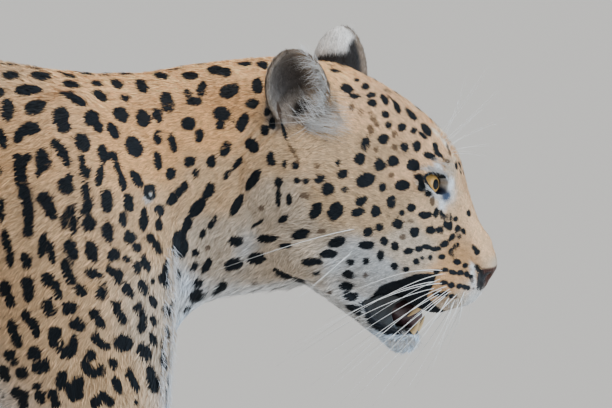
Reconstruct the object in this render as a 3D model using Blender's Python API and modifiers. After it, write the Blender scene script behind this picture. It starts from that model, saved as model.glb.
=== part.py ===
"""A life-size leopard, a large adult, walking slowly with its head held low and its mouth a little open.

Metres, +Z up. The animal faces +X and its right side is -Y. The origin is the middle of the footprint on
the floor. Body, neck, head and legs are lofted and blended into one form, which is parted with thin cuts.
"""

import math

import bmesh
import bpy
import numpy as np
from mathutils import Matrix, Vector

# Driving dimensions of the whole animal
MM = 0.001
GAP = 0.0003
SOLE_CUT = 0.005

# The head's own frame: x from between the ear roots to the nose, z up from the palate's line
HEAD_PLACE = Vector((0.331, -0.012, 0.560))
HEAD_PITCH = math.radians(31)
HEAD_YAW = math.radians(-9)
HEAD_ROLL = math.radians(2)
EYE_CENTRE = (84.0, 38.0, 53.0)
EYE_RADIUS = 14.5
CORNEA_RISE = 1.3
EYE_OUTWARD = math.radians(27)
EYE_UPWARD = math.radians(28)
# Half widths of the lids' opening towards the nose and the ear, half heights above and below
LID_OPENING = (15.5, 13.5, 9.4, 8.2)

# Resolution of the blended forms, and the share of triangles that each region keeps
SOFT_VOXEL = 0.009
FINE_VOXEL = 0.0030
HEAD_KEEP = 0.069
PAW_KEEP = 0.028
BODY_KEEP = 0.0026

# Trunk and neck: x, top, height of the widest point, underside, half width, squareness
TRUNK = (
    (-0.825, 0.602, 0.570, 0.535, 0.028, 2.0),
    (-0.800, 0.634, 0.565, 0.490, 0.066, 2.1),
    (-0.740, 0.662, 0.560, 0.446, 0.096, 2.2),
    (-0.650, 0.677, 0.560, 0.424, 0.106, 2.3),
    (-0.555, 0.681, 0.555, 0.410, 0.102, 2.3),
    (-0.455, 0.676, 0.530, 0.392, 0.105, 2.3),
    (-0.345, 0.668, 0.500, 0.370, 0.116, 2.3),
    (-0.230, 0.667, 0.495, 0.352, 0.122, 2.3),
    (-0.115, 0.681, 0.505, 0.346, 0.120, 2.2),
    (-0.030, 0.686, 0.515, 0.348, 0.112, 2.1),
    (0.050, 0.674, 0.520, 0.350, 0.104, 2.1),
    (0.105, 0.669, 0.530, 0.354, 0.098, 2.1),
    (0.150, 0.671, 0.545, 0.370, 0.091, 2.1),
    (0.195, 0.679, 0.560, 0.430, 0.084, 2.1),
    (0.250, 0.684, 0.565, 0.444, 0.084, 2.2),
    (0.300, 0.684, 0.565, 0.450, 0.084, 2.2),
    (0.340, 0.662, 0.560, 0.462, 0.070, 2.2),
)

# Head sections in millimetres: x, top, then half width and height at brow, cheek and lip, underside
SKULL = (
    (-112, 70, 44, 60, 70, 0, 60, -64, -92),
    (-74, 95, 47, 84, 84, 4, 72, -68, -104),
    (-34, 106, 46, 95, 90, 6, 77, -64, -108),
    (8, 108, 44, 97, 91, 2, 76, -62, -106),
    (44, 105, 42, 94, 84, -2, 69, -62, -104),
    (70, 100, 40, 88, 73, 0, 60, -62, -104),
    (90, 92, 35, 82, 60, 4, 53, -58, -102),
    (104, 82, 29, 73, 50, 6, 48, -50, -88),
    (120, 67, 23, 59, 41, 4, 46, -38, -64),
    (136, 53, 19, 46, 34, -2, 45, -34, -61),
    (152, 41, 20, 34, 30, -4, 43, -34, -57),
    (167, 30, 19, 24, 26, -4, 38, -32, -48),
    (179, 26, 18, 18, 21, -3, 29, -27, -38),
    (187, 17, 13, 11, 15, -4, 17, -18, -27),
)

# Lower jaw sections, opened: x, top, then half width and height at the lip and below it, underside
JAW = (
    (30, -66, 58, -74, 44, -92, -104),
    (64, -68, 54, -78, 41, -94, -106),
    (98, -74, 43, -84, 35, -98, -109),
    (120, -82, 34, -89, 29, -101, -112),
    (138, -82, 27, -87, 25, -102, -115),
    (150, -81, 20, -86, 19, -102, -113),
    (157, -87, 10, -91, 10, -99, -105),
)

# Soft masses laid over the head loft: centre, radii; a y above zero means one on each side
HEAD_MASSES = {
    "whisker_pad": ((148, 26, -29), (30, 19, 23)),
    "upper_lip": ((138, 30, -46), (30, 14, 13)),
    "nose_tip": ((177, 0, 8), (11, 19, 13)),
    "nose_bridge": ((140, 0, 29), (34, 18, 13)),
    "brow": ((80, 34, 67), (27, 20, 13)),
    "lid_mound": (EYE_CENTRE, (19.0, 19.0, 19.0)),
    "cheek_bone": ((40, 54, 12), (44, 21, 28)),
    "orbit": ((66, 40, 40), (30, 22, 27)),
    "jaw_muscle": ((8, 58, -52), (56, 30, 42)),
    "chin": ((146, 0, -99), (13, 17, 15)),
    "ear_root": ((-50, 44, 54), (30, 25, 27)),
}

# A leg from the trunk down: height, half depth fore and aft, half width, distance from the midline
FORELEG = (
    (0.620, 0.078, 0.036, 0.066),
    (0.540, 0.092, 0.044, 0.083),
    (0.455, 0.093, 0.049, 0.091),
    (0.380, 0.094, 0.047, 0.089),
    (0.305, 0.072, 0.042, 0.084),
    (0.225, 0.045, 0.038, 0.080),
    (0.155, 0.038, 0.036, 0.077),
    (0.105, 0.036, 0.037, 0.076),
    (0.050, 0.039, 0.040, 0.076),
)
HINDLEG = (
    (0.600, 0.088, 0.044, 0.058),
    (0.520, 0.112, 0.052, 0.076),
    (0.440, 0.106, 0.053, 0.087),
    (0.370, 0.084, 0.048, 0.087),
    (0.300, 0.060, 0.040, 0.082),
    (0.235, 0.045, 0.033, 0.078),
    (0.180, 0.038, 0.029, 0.075),
    (0.130, 0.031, 0.029, 0.075),
    (0.080, 0.030, 0.031, 0.075),
    (0.045, 0.033, 0.035, 0.075),
)
# Each leg's stations fore and aft, from its top station down, which set the stride, then the paw's x
STRIDE = {
    "fore_right": (FORELEG, -1, (0.015, 0.060, 0.086, 0.086, 0.105, 0.122, 0.131, 0.136, 0.140), 0.170),
    "fore_left": (FORELEG, 1, (-0.010, 0.040, 0.070, 0.034, -0.002, -0.028, -0.052, -0.062, -0.060), -0.030),
    "hind_right": (
        HINDLEG,
        -1,
        (-0.670, -0.655, -0.632, -0.624, -0.678, -0.740, -0.792, -0.804, -0.800, -0.790),
        -0.758,
    ),
    "hind_left": (
        HINDLEG,
        1,
        (-0.660, -0.630, -0.590, -0.558, -0.572, -0.608, -0.642, -0.638, -0.622, -0.607),
        -0.574,
    ),
}
PAW_RADII = {"fore": (0.058, 0.048, 0.035), "hind": (0.054, 0.043, 0.032)}
TOE_RADII = {"fore": (0.027, 0.0150, 0.0215), "hind": (0.025, 0.0135, 0.0195)}
TOE_SPREAD = (-1.5, -0.5, 0.5, 1.5)
TOE_REACH = (0.034, 0.048, 0.048, 0.035)

# Tail: x, y, z, radius
TAIL = (
    (-0.755, 0.000, 0.612, 0.040),
    (-0.820, 0.000, 0.587, 0.036),
    (-0.880, 0.004, 0.522, 0.030),
    (-0.930, 0.010, 0.430, 0.0265),
    (-0.975, 0.018, 0.335, 0.0255),
    (-1.025, 0.026, 0.250, 0.0255),
    (-1.090, 0.032, 0.190, 0.0255),
    (-1.165, 0.034, 0.172, 0.0255),
    (-1.235, 0.030, 0.196, 0.0255),
    (-1.280, 0.022, 0.250, 0.0245),
    (-1.297, 0.014, 0.305, 0.0200),
    (-1.297, 0.010, 0.335, 0.0110),
)

# Ears: root in the head's frame, then the way up and the way the cup opens, in the animal's frame
EARS = {
    "ear_right": ((-50, -66, 53), (-0.24, -0.30, 0.92), (0.22, -0.97, -0.10), (0.026, 0.033, 0.047)),
    "ear_left": ((-38, 56, 67), (-0.02, 0.22, 0.97), (0.66, 0.74, -0.04), (0.026, 0.028, 0.046)),
}
EAR_RISE = 0.024
EAR_WALL = 0.0042
EAR_MOUTH = 0.10

# The mouth, in the head's frame: the air between the lips, from its corner along the upper lip and back
MOUTH_GAP = (
    (97, -80),
    (104, -69),
    (116, -62),
    (132, -58.5),
    (149, -57),
    (164, -52),
    (176, -40),
    (215, -20),
    (215, -96),
    (160, -87),
    (152, -83),
    (140, -86),
    (128, -89),
    (112, -88),
)
# The line from the corner of the mouth back to the throat, under which the jaw is a node of its own
JAW_LINE = (
    (150, -70),
    (101, -79),
    (74, -72),
    (44, -70),
    (24, -84),
    (8, -125),
    (8, -170),
    (230, -170),
    (230, -70),
)
TEETH = {
    "canine_upper": ((142, 18.0, -48), (137, 17.0, -73), 5.4),
    "canine_lower": ((146, 13.5, -93), (148.5, 14.5, -69), 4.6),
}

# The cell that each node is taken with, in the order of taking. "side" outlines are in x and z with a span
# in y, "front" outlines are in y and z with a span in x, and each runs past the form except at the cut
CELLS = {
    "tail_tip": (
        "side",
        ((-1.120, 0.05), (-1.150, 0.30), (-1.150, 0.45), (-1.45, 0.45), (-1.45, 0.05)),
        (-0.1, 0.2),
    ),
    "tail_middle": (
        "side",
        ((-0.880, 0.10), (-0.880, 0.400), (-1.02, 0.465), (-1.45, 0.465), (-1.45, 0.10)),
        (-0.1, 0.2),
    ),
    "tail_root": (
        "side",
        ((-0.853, 0.10), (-0.845, 0.500), (-0.808, 0.590), (-0.850, 0.70), (-1.45, 0.70), (-1.45, 0.10)),
        (-0.1, 0.2),
    ),
    "forepaw_right": ("side", ((0.00, -0.1), (0.00, 0.124), (0.35, 0.132), (0.35, -0.1)), (-0.25, -0.012)),
    "forepaw_left": ("side", ((-0.20, -0.1), (-0.20, 0.120), (0.10, 0.138), (0.10, -0.1)), (0.012, 0.25)),
    "hindpaw_right": (
        "side",
        ((-0.95, -0.1), (-0.95, 0.138), (-0.65, 0.152), (-0.65, -0.1)),
        (-0.25, -0.012),
    ),
    "hindpaw_left": ("side", ((-0.80, -0.1), (-0.80, 0.140), (-0.45, 0.156), (-0.45, -0.1)), (0.012, 0.25)),
    "forearm_right": ("side", ((-0.10, 0.05), (-0.10, 0.345), (0.35, 0.310), (0.35, 0.05)), (-0.25, -0.012)),
    "forearm_left": ("side", ((-0.25, 0.05), (-0.25, 0.275), (0.15, 0.350), (0.15, 0.05)), (0.012, 0.25)),
    "shank_right": ("side", ((-0.95, 0.05), (-0.95, 0.255), (-0.50, 0.375), (-0.50, 0.05)), (-0.25, -0.012)),
    "shank_left": ("side", ((-0.85, 0.05), (-0.85, 0.280), (-0.40, 0.350), (-0.40, 0.05)), (0.012, 0.25)),
    "upper_arm_right": (
        "front",
        ((-0.024, 0.2), (-0.024, 0.346), (-0.150, 0.505), (-0.30, 0.505), (-0.30, 0.2)),
        (-0.045, 0.30),
    ),
    "upper_arm_left": (
        "front",
        ((0.024, 0.2), (0.024, 0.346), (0.150, 0.505), (0.30, 0.505), (0.30, 0.2)),
        (-0.085, 0.30),
    ),
    "thigh_right": (
        "front",
        ((-0.020, 0.2), (-0.020, 0.405), (-0.140, 0.570), (-0.30, 0.570), (-0.30, 0.2)),
        (-0.95, -0.515),
    ),
    "thigh_left": (
        "front",
        ((0.020, 0.2), (0.020, 0.405), (0.140, 0.570), (0.30, 0.570), (0.30, 0.2)),
        (-0.95, -0.455),
    ),
    "head": (
        "side",
        ((0.288, 0.30), (0.268, 0.565), (0.232, 0.85), (0.70, 0.85), (0.70, 0.30)),
        (-0.3, 0.3),
    ),
    "neck": (
        "side",
        ((0.198, 0.30), (0.128, 0.540), (0.060, 0.85), (0.70, 0.85), (0.70, 0.30)),
        (-0.3, 0.3),
    ),
}

COLOURS = {
    "coat": ((0.60, 0.40, 0.20), 0.85),
    "eye": ((0.45, 0.28, 0.06), 0.08),
    "tongue": ((0.62, 0.26, 0.24), 0.45),
    "canine": ((0.86, 0.78, 0.60), 0.25),
}


def head_matrix():
    """Carries the head's own frame, in millimetres, to the animal's frame."""
    turn = Matrix.Rotation(HEAD_YAW, 4, "Z") @ Matrix.Rotation(HEAD_PITCH, 4, "Y")
    turn = turn @ Matrix.Rotation(HEAD_ROLL, 4, "X")
    return Matrix.Translation(HEAD_PLACE) @ turn @ Matrix.Scale(MM, 4)


def curve_through(rows, steps, closed=False):
    """Rows of numbers on a smooth curve through the given rows, a Catmull-Rom spline."""
    rows = np.array(rows, float)
    count = len(rows)
    spans = count if closed else count - 1
    found = []
    for span in range(spans):
        if closed:
            a, b, c, d = (rows[(span + k) % count] for k in (-1, 0, 1, 2))
        else:
            a, b, c, d = (rows[min(max(span + k, 0), count - 1)] for k in (-1, 0, 1, 2))
        for t in np.arange(steps) / steps:
            bend = (2 * a - 5 * b + 4 * c - d) * t**2 + (3 * b - a - 3 * c + d) * t**3
            found.append(0.5 * (2 * b + (c - a) * t + bend))
    if not closed:
        found.append(rows[-1])
    return np.array(found)


def new_object(name, mesh, collection=None):
    obj = bpy.data.objects.new(name, mesh)
    (collection or bpy.context.scene.collection).objects.link(obj)
    return obj


def object_from_bmesh(name, bm):
    bmesh.ops.recalc_face_normals(bm, faces=bm.faces)
    if bm.calc_volume(signed=True) < 0:
        bmesh.ops.reverse_faces(bm, faces=bm.faces)
    mesh = bpy.data.meshes.new(name)
    bm.to_mesh(mesh)
    bm.free()
    return new_object(name, mesh)


def loft(name, rings):
    """A closed skin over rings of points, each ring with as many points as the next."""
    bm = bmesh.new()
    loops = [[bm.verts.new(point) for point in ring] for ring in rings]
    for first, second in zip(loops, loops[1:]):
        for i in range(len(first)):
            j = (i + 1) % len(first)
            bm.faces.new((first[i], first[j], second[j], second[i]))
    bm.faces.new(loops[0])
    bm.faces.new(loops[-1])
    return object_from_bmesh(name, bm)


def ellipsoid(name, centre, radii, matrix=None):
    """A scaled sphere, placed in the animal's frame or by a matrix from another."""
    bm = bmesh.new()
    bmesh.ops.create_uvsphere(bm, u_segments=28, v_segments=18, radius=1.0)
    place = Matrix.Translation(centre) @ Matrix.Diagonal((*radii, 1.0))
    bm.transform((matrix or Matrix.Identity(4)) @ place)
    return object_from_bmesh(name, bm)


def limb_rings(stations, sides=20):
    """Rings square to the line through stations of x, y, z, half depth and half width."""
    rows = curve_through(stations, 5)
    centres = rows[:, :3]
    rings = []
    for i, row in enumerate(rows):
        along = Vector(centres[min(i + 1, len(rows) - 1)] - centres[max(i - 1, 0)]).normalized()
        side = Vector((0, 1, 0))
        side = (side - along * side.dot(along)).normalized()
        fore = side.cross(along)
        ring = []
        for k in range(sides):
            angle = 2 * math.pi * k / sides
            ring.append(Vector(row[:3]) + fore * row[3] * math.cos(angle) + side * row[4] * math.sin(angle))
        rings.append(ring)
    return rings


def trunk():
    rings = []
    for x, top, middle, bottom, half_width, square in curve_through(TRUNK, 4):
        ring = []
        for k in range(32):
            angle = 2 * math.pi * k / 32
            c, s = math.cos(angle), math.sin(angle)
            y = half_width * math.copysign(abs(c) ** (2 / square), c)
            rise = (top - middle) if s > 0 else (middle - bottom)
            ring.append((x, y, middle + rise * math.copysign(abs(s) ** (2 / square), s)))
        rings.append(ring)
    return loft("trunk", rings)


def leg_column(name):
    """A leg from its muscle in the trunk down to the wrist or hock and into the paw."""
    stations, side, stride, _ = STRIDE[name]
    rows = [(x, side * out, z, deep, wide) for x, (z, deep, wide, out) in zip(stride, stations)]
    return loft(name, limb_rings(rows))


def paw(name):
    """The pad of a paw and its four toes."""
    stations, side, _, paw_x = STRIDE[name]
    kind = name.split("_")[0]
    y = side * stations[-1][3]
    radii = PAW_RADII[kind]
    pieces = [ellipsoid(name + "_paw", (paw_x, y, radii[2] - 0.001), radii)]
    toe = TOE_RADII[kind]
    for spread, reach in zip(TOE_SPREAD, TOE_REACH):
        centre = (paw_x + reach, y + spread * toe[1] * 1.62, toe[2])
        pieces.append(ellipsoid(name + "_toe", centre, toe))
    return pieces


def haunch_and_shoulder_masses():
    """The muscle that carries each leg into the trunk."""
    pieces = []
    for side in (-1, 1):
        ahead = 0.0 if side < 0 else -0.02
        pieces.append(ellipsoid("shoulder", (0.080 + ahead, side * 0.078, 0.470), (0.092, 0.050, 0.105)))
        pieces.append(ellipsoid("blade", (0.000 + ahead, side * 0.056, 0.586), (0.085, 0.040, 0.086)))
        back = -0.715 if side < 0 else -0.690
        pieces.append(ellipsoid("haunch", (back, side * 0.062, 0.540), (0.125, 0.055, 0.118)))
    return pieces


def tail():
    return loft("tail", limb_rings([(x, y, z, r, r) for x, y, z, r in TAIL], 16))


def head_masses():
    """The skull, jaw and soft masses of the head, still apart, in the animal's frame."""
    place = head_matrix()
    rings = []
    for x, top, w1, z1, w2, z2, w3, z3, low in curve_through(SKULL, 4):
        half = [(w1, z1), (w2, z2), (w3, z3)]
        outline = [(0, top)] + half + [(0, low)] + [(-w, z) for w, z in reversed(half)]
        rings.append([place @ Vector((x, y, z)) for y, z in curve_through(outline, 4, closed=True)])
    pieces = [loft("skull", rings)]
    rings = []
    for x, top, w1, z1, w2, z2, low in curve_through(JAW, 4):
        half = [(w1, z1), (w2, z2)]
        outline = [(0, top)] + half + [(0, low)] + [(-w, z) for w, z in reversed(half)]
        rings.append([place @ Vector((x, y, z)) for y, z in curve_through(outline, 4, closed=True)])
    pieces.append(loft("jaw_loft", rings))
    for name, ((x, y, z), radii) in HEAD_MASSES.items():
        for side in (-1, 1) if y else (1,):
            pieces.append(ellipsoid(name, (x, side * y, z), radii, place))
    return pieces


def applied(obj):
    """The object with its modifiers made part of its mesh."""
    graph = bpy.context.evaluated_depsgraph_get()
    mesh = bpy.data.meshes.new_from_object(obj.evaluated_get(graph))
    obj.modifiers.clear()
    obj.data = mesh
    return obj


def joined(name, pieces):
    """Several meshes as one object, still as loose shells."""
    bm = bmesh.new()
    for piece in pieces:
        piece.data.transform(piece.matrix_world)
        bm.from_mesh(piece.data)
        bpy.data.objects.remove(piece)
    mesh = bpy.data.meshes.new(name)
    bm.to_mesh(mesh)
    bm.free()
    return new_object(name, mesh)


def blended(obj, voxel, rounds, strength=0.5):
    """One skin round all the shells of an object, with its creases softened."""
    remesh = obj.modifiers.new("blend", "REMESH")
    remesh.mode = "VOXEL"
    remesh.voxel_size = voxel
    smooth = obj.modifiers.new("soften", "SMOOTH")
    smooth.factor = strength
    smooth.iterations = rounds
    return applied(obj)


def mesh_arrays(obj):
    points = np.empty(len(obj.data.vertices) * 3)
    obj.data.vertices.foreach_get("co", points)
    return points.reshape(-1, 3)


def thinned(obj, region, ratio):
    """Fewer triangles where region, worked out from each point's place, is true."""
    bpy.ops.object.select_all(action="DESELECT")
    bpy.context.view_layer.objects.active = obj
    obj.select_set(True)
    chosen = region(mesh_arrays(obj))
    bpy.ops.object.mode_set(mode="EDIT")
    bpy.ops.mesh.select_all(action="DESELECT")
    bpy.ops.object.mode_set(mode="OBJECT")
    for vertex, inside in zip(obj.data.vertices, chosen):
        vertex.select = bool(inside)
    bpy.ops.object.mode_set(mode="EDIT")
    bpy.ops.mesh.select_mode(type="VERT")
    bpy.ops.mesh.decimate(ratio=ratio)
    bpy.ops.object.mode_set(mode="OBJECT")
    return obj


def cut(obj, cutter, operation="DIFFERENCE", solver="EXACT"):
    """A Boolean with one cutter, which is then removed."""
    boolean = obj.modifiers.new("cut", "BOOLEAN")
    boolean.operation = operation
    boolean.solver = solver
    boolean.object = cutter
    applied(obj)
    bpy.data.objects.remove(cutter)
    return obj


def grown_copy(obj, by):
    """A copy of a closed form, pushed out along its normals."""
    copy = new_object(obj.name + "_grown", obj.data.copy())
    push = copy.modifiers.new("push", "DISPLACE")
    push.strength = by
    push.mid_level = 0.0
    return applied(copy)


def offset_outline(outline, by):
    """A flat outline pushed outwards on every side by the same distance."""
    points = [Vector(point) for point in outline]
    turning = sum(a.x * b.y - b.x * a.y for a, b in zip(points, points[1:] + points[:1]))
    sign = 1 if turning > 0 else -1
    moved = []
    for i, here in enumerate(points):
        into = (here - points[i - 1]).normalized()
        out = (points[(i + 1) % len(points)] - here).normalized()
        first = Vector((into.y, -into.x)) * sign
        second = Vector((out.y, -out.x)) * sign
        corner = (first + second).normalized()
        moved.append(here + corner * (by / corner.dot(first)))
    return moved


def prism(name, outline, span, matrix=None, axis="y"):
    """A flat outline thickened across: in x and z along y, or in y and z along x."""
    matrix = matrix or Matrix.Identity(4)
    if axis == "y":
        rings = [[matrix @ Vector((a, y, b)) for a, b in outline] for y in span]
    else:
        rings = [[matrix @ Vector((x, a, b)) for a, b in outline] for x in span]
    return loft(name, rings)


def largest_body(obj):
    """The object with only its largest closed surface kept."""
    bm = bmesh.new()
    bm.from_mesh(obj.data)
    bm.verts.ensure_lookup_table()
    seen, groups = set(), []
    for start in bm.verts:
        if start.index in seen:
            continue
        stack, group = [start], []
        seen.add(start.index)
        while stack:
            vertex = stack.pop()
            group.append(vertex)
            for edge in vertex.link_edges:
                other = edge.other_vert(vertex)
                if other.index not in seen:
                    seen.add(other.index)
                    stack.append(other)
        groups.append(group)
    groups.sort(key=len)
    bmesh.ops.delete(bm, geom=[v for group in groups[:-1] for v in group], context="VERTS")
    bm.to_mesh(obj.data)
    bm.free()
    return obj


def in_head(points):
    """True for points ahead of the cut between head and neck."""
    return points[:, 0] > 0.262


def in_paws(points):
    return points[:, 2] < 0.085


def eye_matrix(side):
    """Carries an eye's frame to the animal's: x out through the pupil, y across, z up, in millimetres."""
    x, y, z = EYE_CENTRE
    turn = Matrix.Rotation(side * EYE_OUTWARD, 4, "Z") @ Matrix.Rotation(-EYE_UPWARD, 4, "Y")
    return head_matrix() @ Matrix.Translation((x, side * y, z)) @ turn


def eyeball(name, side):
    """A ball with a slightly raised cornea."""
    bm = bmesh.new()
    bmesh.ops.create_uvsphere(bm, u_segments=18, v_segments=11, radius=EYE_RADIUS)
    bm.transform(Matrix.Rotation(math.radians(90), 4, "Y"))
    for vertex in bm.verts:
        facing = vertex.co.x / EYE_RADIUS
        if facing > 0.72:
            vertex.co *= 1 + CORNEA_RISE / EYE_RADIUS * min(1.0, (facing - 0.72) / 0.16)
    bm.transform(eye_matrix(side))
    return object_from_bmesh(name, bm)


def lid_opening(side):
    """An almond-shaped cutter through the lids; its inner corner points down to the nose."""
    inner, outer, upper, lower = LID_OPENING
    outline = []
    for k in range(20):
        angle = 2 * math.pi * k / 20
        c, s = math.cos(angle), math.sin(angle)
        across = (inner if c > 0 else outer) * c
        height = (upper if s > 0 else lower) * math.copysign(abs(s) ** 1.25, s)
        outline.append((-side * across, height - 0.30 * across))
    place = eye_matrix(side)
    rings = [[place @ Vector((4.0 + 0.6 * max(0.0, -side * y - 8.0), y, z)) for y, z in outline]]
    rings.append([place @ Vector((34.0, y, z)) for y, z in outline])
    return loft("lid_opening", rings)


def nostril(side):
    """A comma-shaped hollow beside the tip of the nose."""
    place = head_matrix() @ Matrix.Translation((184.0, side * 9.0, 2.0))
    place = place @ Matrix.Rotation(side * math.radians(40), 4, "Z")
    place = place @ Matrix.Rotation(math.radians(14), 4, "Y")
    return ellipsoid("nostril", (0, 0, 0), (9.0, 4.6, 6.5), place)


def fang(name, root, tip, radius):
    """A canine tooth: a cone that bends back a little."""
    root, tip = Vector(root), Vector(tip)
    rings = []
    for k in range(6):
        t = k / 5
        centre = root.lerp(tip, t) + Vector((2.0 * math.sin(math.pi * t), 0, 0))
        wide = radius * (1 - 0.86 * t**1.4)
        ring = [(wide * math.cos(a), wide * 0.8 * math.sin(a)) for a in np.arange(10) * math.pi / 5]
        rings.append([head_matrix() @ (centre + Vector((dx, dy, 0))) for dx, dy in ring])
    return loft(name, rings)


def ear(name):
    """A cupped ear with a rolled rim: part of a hollow egg, opened on one side."""
    root, up, opening, radii = EARS[name]
    z = Vector(up).normalized()
    x = (Vector(opening) - z * Vector(opening).dot(z)).normalized()
    y = z.cross(x)
    turn = Matrix((x, y, z)).transposed().to_4x4()
    centre = head_matrix() @ Vector(root) + z * EAR_RISE
    bm = bmesh.new()
    bmesh.ops.create_uvsphere(bm, u_segments=18, v_segments=12, radius=1.0)
    geometry = bm.verts[:] + bm.edges[:] + bm.faces[:]
    bmesh.ops.bisect_plane(
        bm, geom=geometry, dist=1e-6, plane_co=(EAR_MOUTH, 0, 0), plane_no=(1, 0, 0), clear_outer=True
    )
    for vertex in bm.verts:
        height = (vertex.co.z + 1) / 2
        narrow = 1.0 - 0.16 * max(0.0, 0.45 - height) / 0.45
        vertex.co.y *= narrow
        vertex.co.x += 0.20 * (1 - height) ** 2
    bm.transform(Matrix.Translation(centre) @ turn @ Matrix.Diagonal((*radii, 1.0)))
    obj = object_from_bmesh(name, bm)
    wall = obj.modifiers.new("wall", "SOLIDIFY")
    wall.thickness = EAR_WALL
    wall.offset = -1
    rim = obj.modifiers.new("rim", "BEVEL")
    rim.width = EAR_WALL * 0.28
    rim.segments = 1
    rim.limit_method = "ANGLE"
    return applied(obj)


def tongue():
    """The tongue, arched high between the teeth, its tip behind the lower fangs."""
    back = ellipsoid("tongue_back", (108, 0, -75), (28, 21, 15), head_matrix())
    blade = ellipsoid("tongue_blade", (126, 0, -72), (19, 12, 11), head_matrix())
    return blended(joined("tongue", [back, blade]), 0.0052, 3)


def whole_body():
    """The blended animal before it is parted, with its mouth opened."""
    soft = [trunk(), *haunch_and_shoulder_masses(), *[leg_column(name) for name in STRIDE]]
    body = blended(joined("soft_body", soft), SOFT_VOXEL, 14)
    head = blended(joined("soft_head", head_masses()), FINE_VOXEL, 18)
    cut(head, prism("mouth_gap", MOUTH_GAP, (-80, 80), head_matrix()))
    for side in (-1, 1):
        cut(head, nostril(side))
    fine = [body, head, tail()]
    for name in STRIDE:
        fine.extend(paw(name))
    whole = blended(joined("whole", fine), FINE_VOXEL, 3)
    thinned(whole, in_head, HEAD_KEEP)
    thinned(whole, in_paws, PAW_KEEP)
    thinned(whole, lambda points: ~(in_head(points) | in_paws(points)), BODY_KEEP)
    return whole


def shade(obj, colour):
    tone, roughness = COLOURS[colour]
    material = bpy.data.materials.get(colour) or bpy.data.materials.new(colour)
    material.use_nodes = True
    surface = material.node_tree.nodes["Principled BSDF"]
    surface.inputs["Base Color"].default_value = (*tone, 1.0)
    surface.inputs["Roughness"].default_value = roughness
    obj.data.materials.clear()
    obj.data.materials.append(material)
    bpy.ops.object.select_all(action="DESELECT")
    bpy.context.view_layer.objects.active = obj
    obj.select_set(True)
    bpy.ops.object.shade_smooth_by_angle(angle=math.radians(50))


def taken(obj, name, outline, span, matrix=None, axis="y", gap=GAP):
    """Takes a node out of a form with a straight-sided cell, and leaves a gap round it."""
    node = new_object(name, obj.data.copy())
    cut(node, prism("cell", outline, span, matrix, axis), "INTERSECT")
    wide = (span[0] - gap, span[1] + gap)
    cut(obj, prism("grown_cell", offset_outline(outline, gap), wide, matrix, axis))
    largest_body(obj)
    return largest_body(node)


def build():
    """All the nodes of the animal, each a closed form."""
    whole = whole_body()
    floor = ((-2, -1), (2, -1), (2, SOLE_CUT), (-2, SOLE_CUT))
    cut(whole, prism("floor", floor, (-1, 1)))
    nodes = [
        taken(whole, name, outline, span, axis="y" if kind == "side" else "x")
        for name, (kind, outline, span) in CELLS.items()
    ]
    whole.name = "torso"
    nodes.append(whole)
    named = {node.name: node for node in nodes}
    head = named["head"]
    balls = [eyeball(name, side) for name, side in (("eye_right", -1), ("eye_left", 1))]
    for ball, side in zip(balls, (-1, 1)):
        cut(head, grown_copy(ball, GAP))
        cut(head, lid_opening(side))
    largest_body(head)
    jaw = taken(head, "jaw", JAW_LINE, (-120, 120), head_matrix(), gap=GAP / MM)
    for side, hand in ((-1, "_right"), (1, "_left")):
        for name, owner in (("canine_upper", head), ("canine_lower", jaw)):
            (x1, y1, z1), (x2, y2, z2), radius = TEETH[name]
            tooth = fang(name + hand, (x1, side * y1, z1), (x2, side * y2, z2), radius)
            cut(tooth, grown_copy(owner, GAP))
            nodes.append(largest_body(tooth))
    blade = tongue()
    cut(blade, grown_copy(jaw, GAP))
    cut(blade, grown_copy(head, GAP))
    nodes.extend([jaw, largest_body(blade), *balls])
    for name in EARS:
        cup = ear(name)
        cut(cup, grown_copy(head, GAP))
        cut(cup, grown_copy(named["neck"], GAP))
        nodes.append(largest_body(cup))
    return nodes


def main():
    for obj in list(bpy.data.objects):
        bpy.data.objects.remove(obj)
    nodes = build()
    corners = np.concatenate([mesh_arrays(node) for node in nodes])
    middle = (corners.min(axis=0) + corners.max(axis=0)) / 2
    shift = Matrix.Translation((-middle[0], -middle[1], -corners[:, 2].min()))
    animal = bpy.data.collections.new("leopard")
    bpy.context.scene.collection.children.link(animal)
    for node in nodes:
        node.data.transform(shift)
        bpy.context.scene.collection.objects.unlink(node)
        animal.objects.link(node)
        kind = node.name.split("_")[0]
        shade(node, kind if kind in COLOURS else "coat")


main()
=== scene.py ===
"""Looks of a life-size leopard: one skin, short coat, eyes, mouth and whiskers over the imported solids."""

import math

import bmesh
import bpy
import numpy as np
from mathutils import Matrix, Vector
from mathutils.bvhtree import BVHTree
from mathutils.kdtree import KDTree


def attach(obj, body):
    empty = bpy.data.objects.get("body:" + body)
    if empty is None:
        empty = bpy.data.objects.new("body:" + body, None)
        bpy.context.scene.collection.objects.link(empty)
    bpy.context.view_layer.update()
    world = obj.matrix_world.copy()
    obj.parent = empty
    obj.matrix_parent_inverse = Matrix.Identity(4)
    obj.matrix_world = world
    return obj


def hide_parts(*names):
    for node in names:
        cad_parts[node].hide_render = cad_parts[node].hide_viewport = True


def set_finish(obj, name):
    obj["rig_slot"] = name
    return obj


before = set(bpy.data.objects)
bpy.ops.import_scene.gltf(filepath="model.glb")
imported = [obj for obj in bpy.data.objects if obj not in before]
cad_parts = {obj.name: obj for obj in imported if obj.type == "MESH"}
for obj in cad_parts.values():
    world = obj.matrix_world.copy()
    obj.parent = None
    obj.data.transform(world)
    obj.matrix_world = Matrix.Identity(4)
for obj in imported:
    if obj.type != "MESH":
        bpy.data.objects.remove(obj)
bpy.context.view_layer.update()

MM = 0.001
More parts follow.
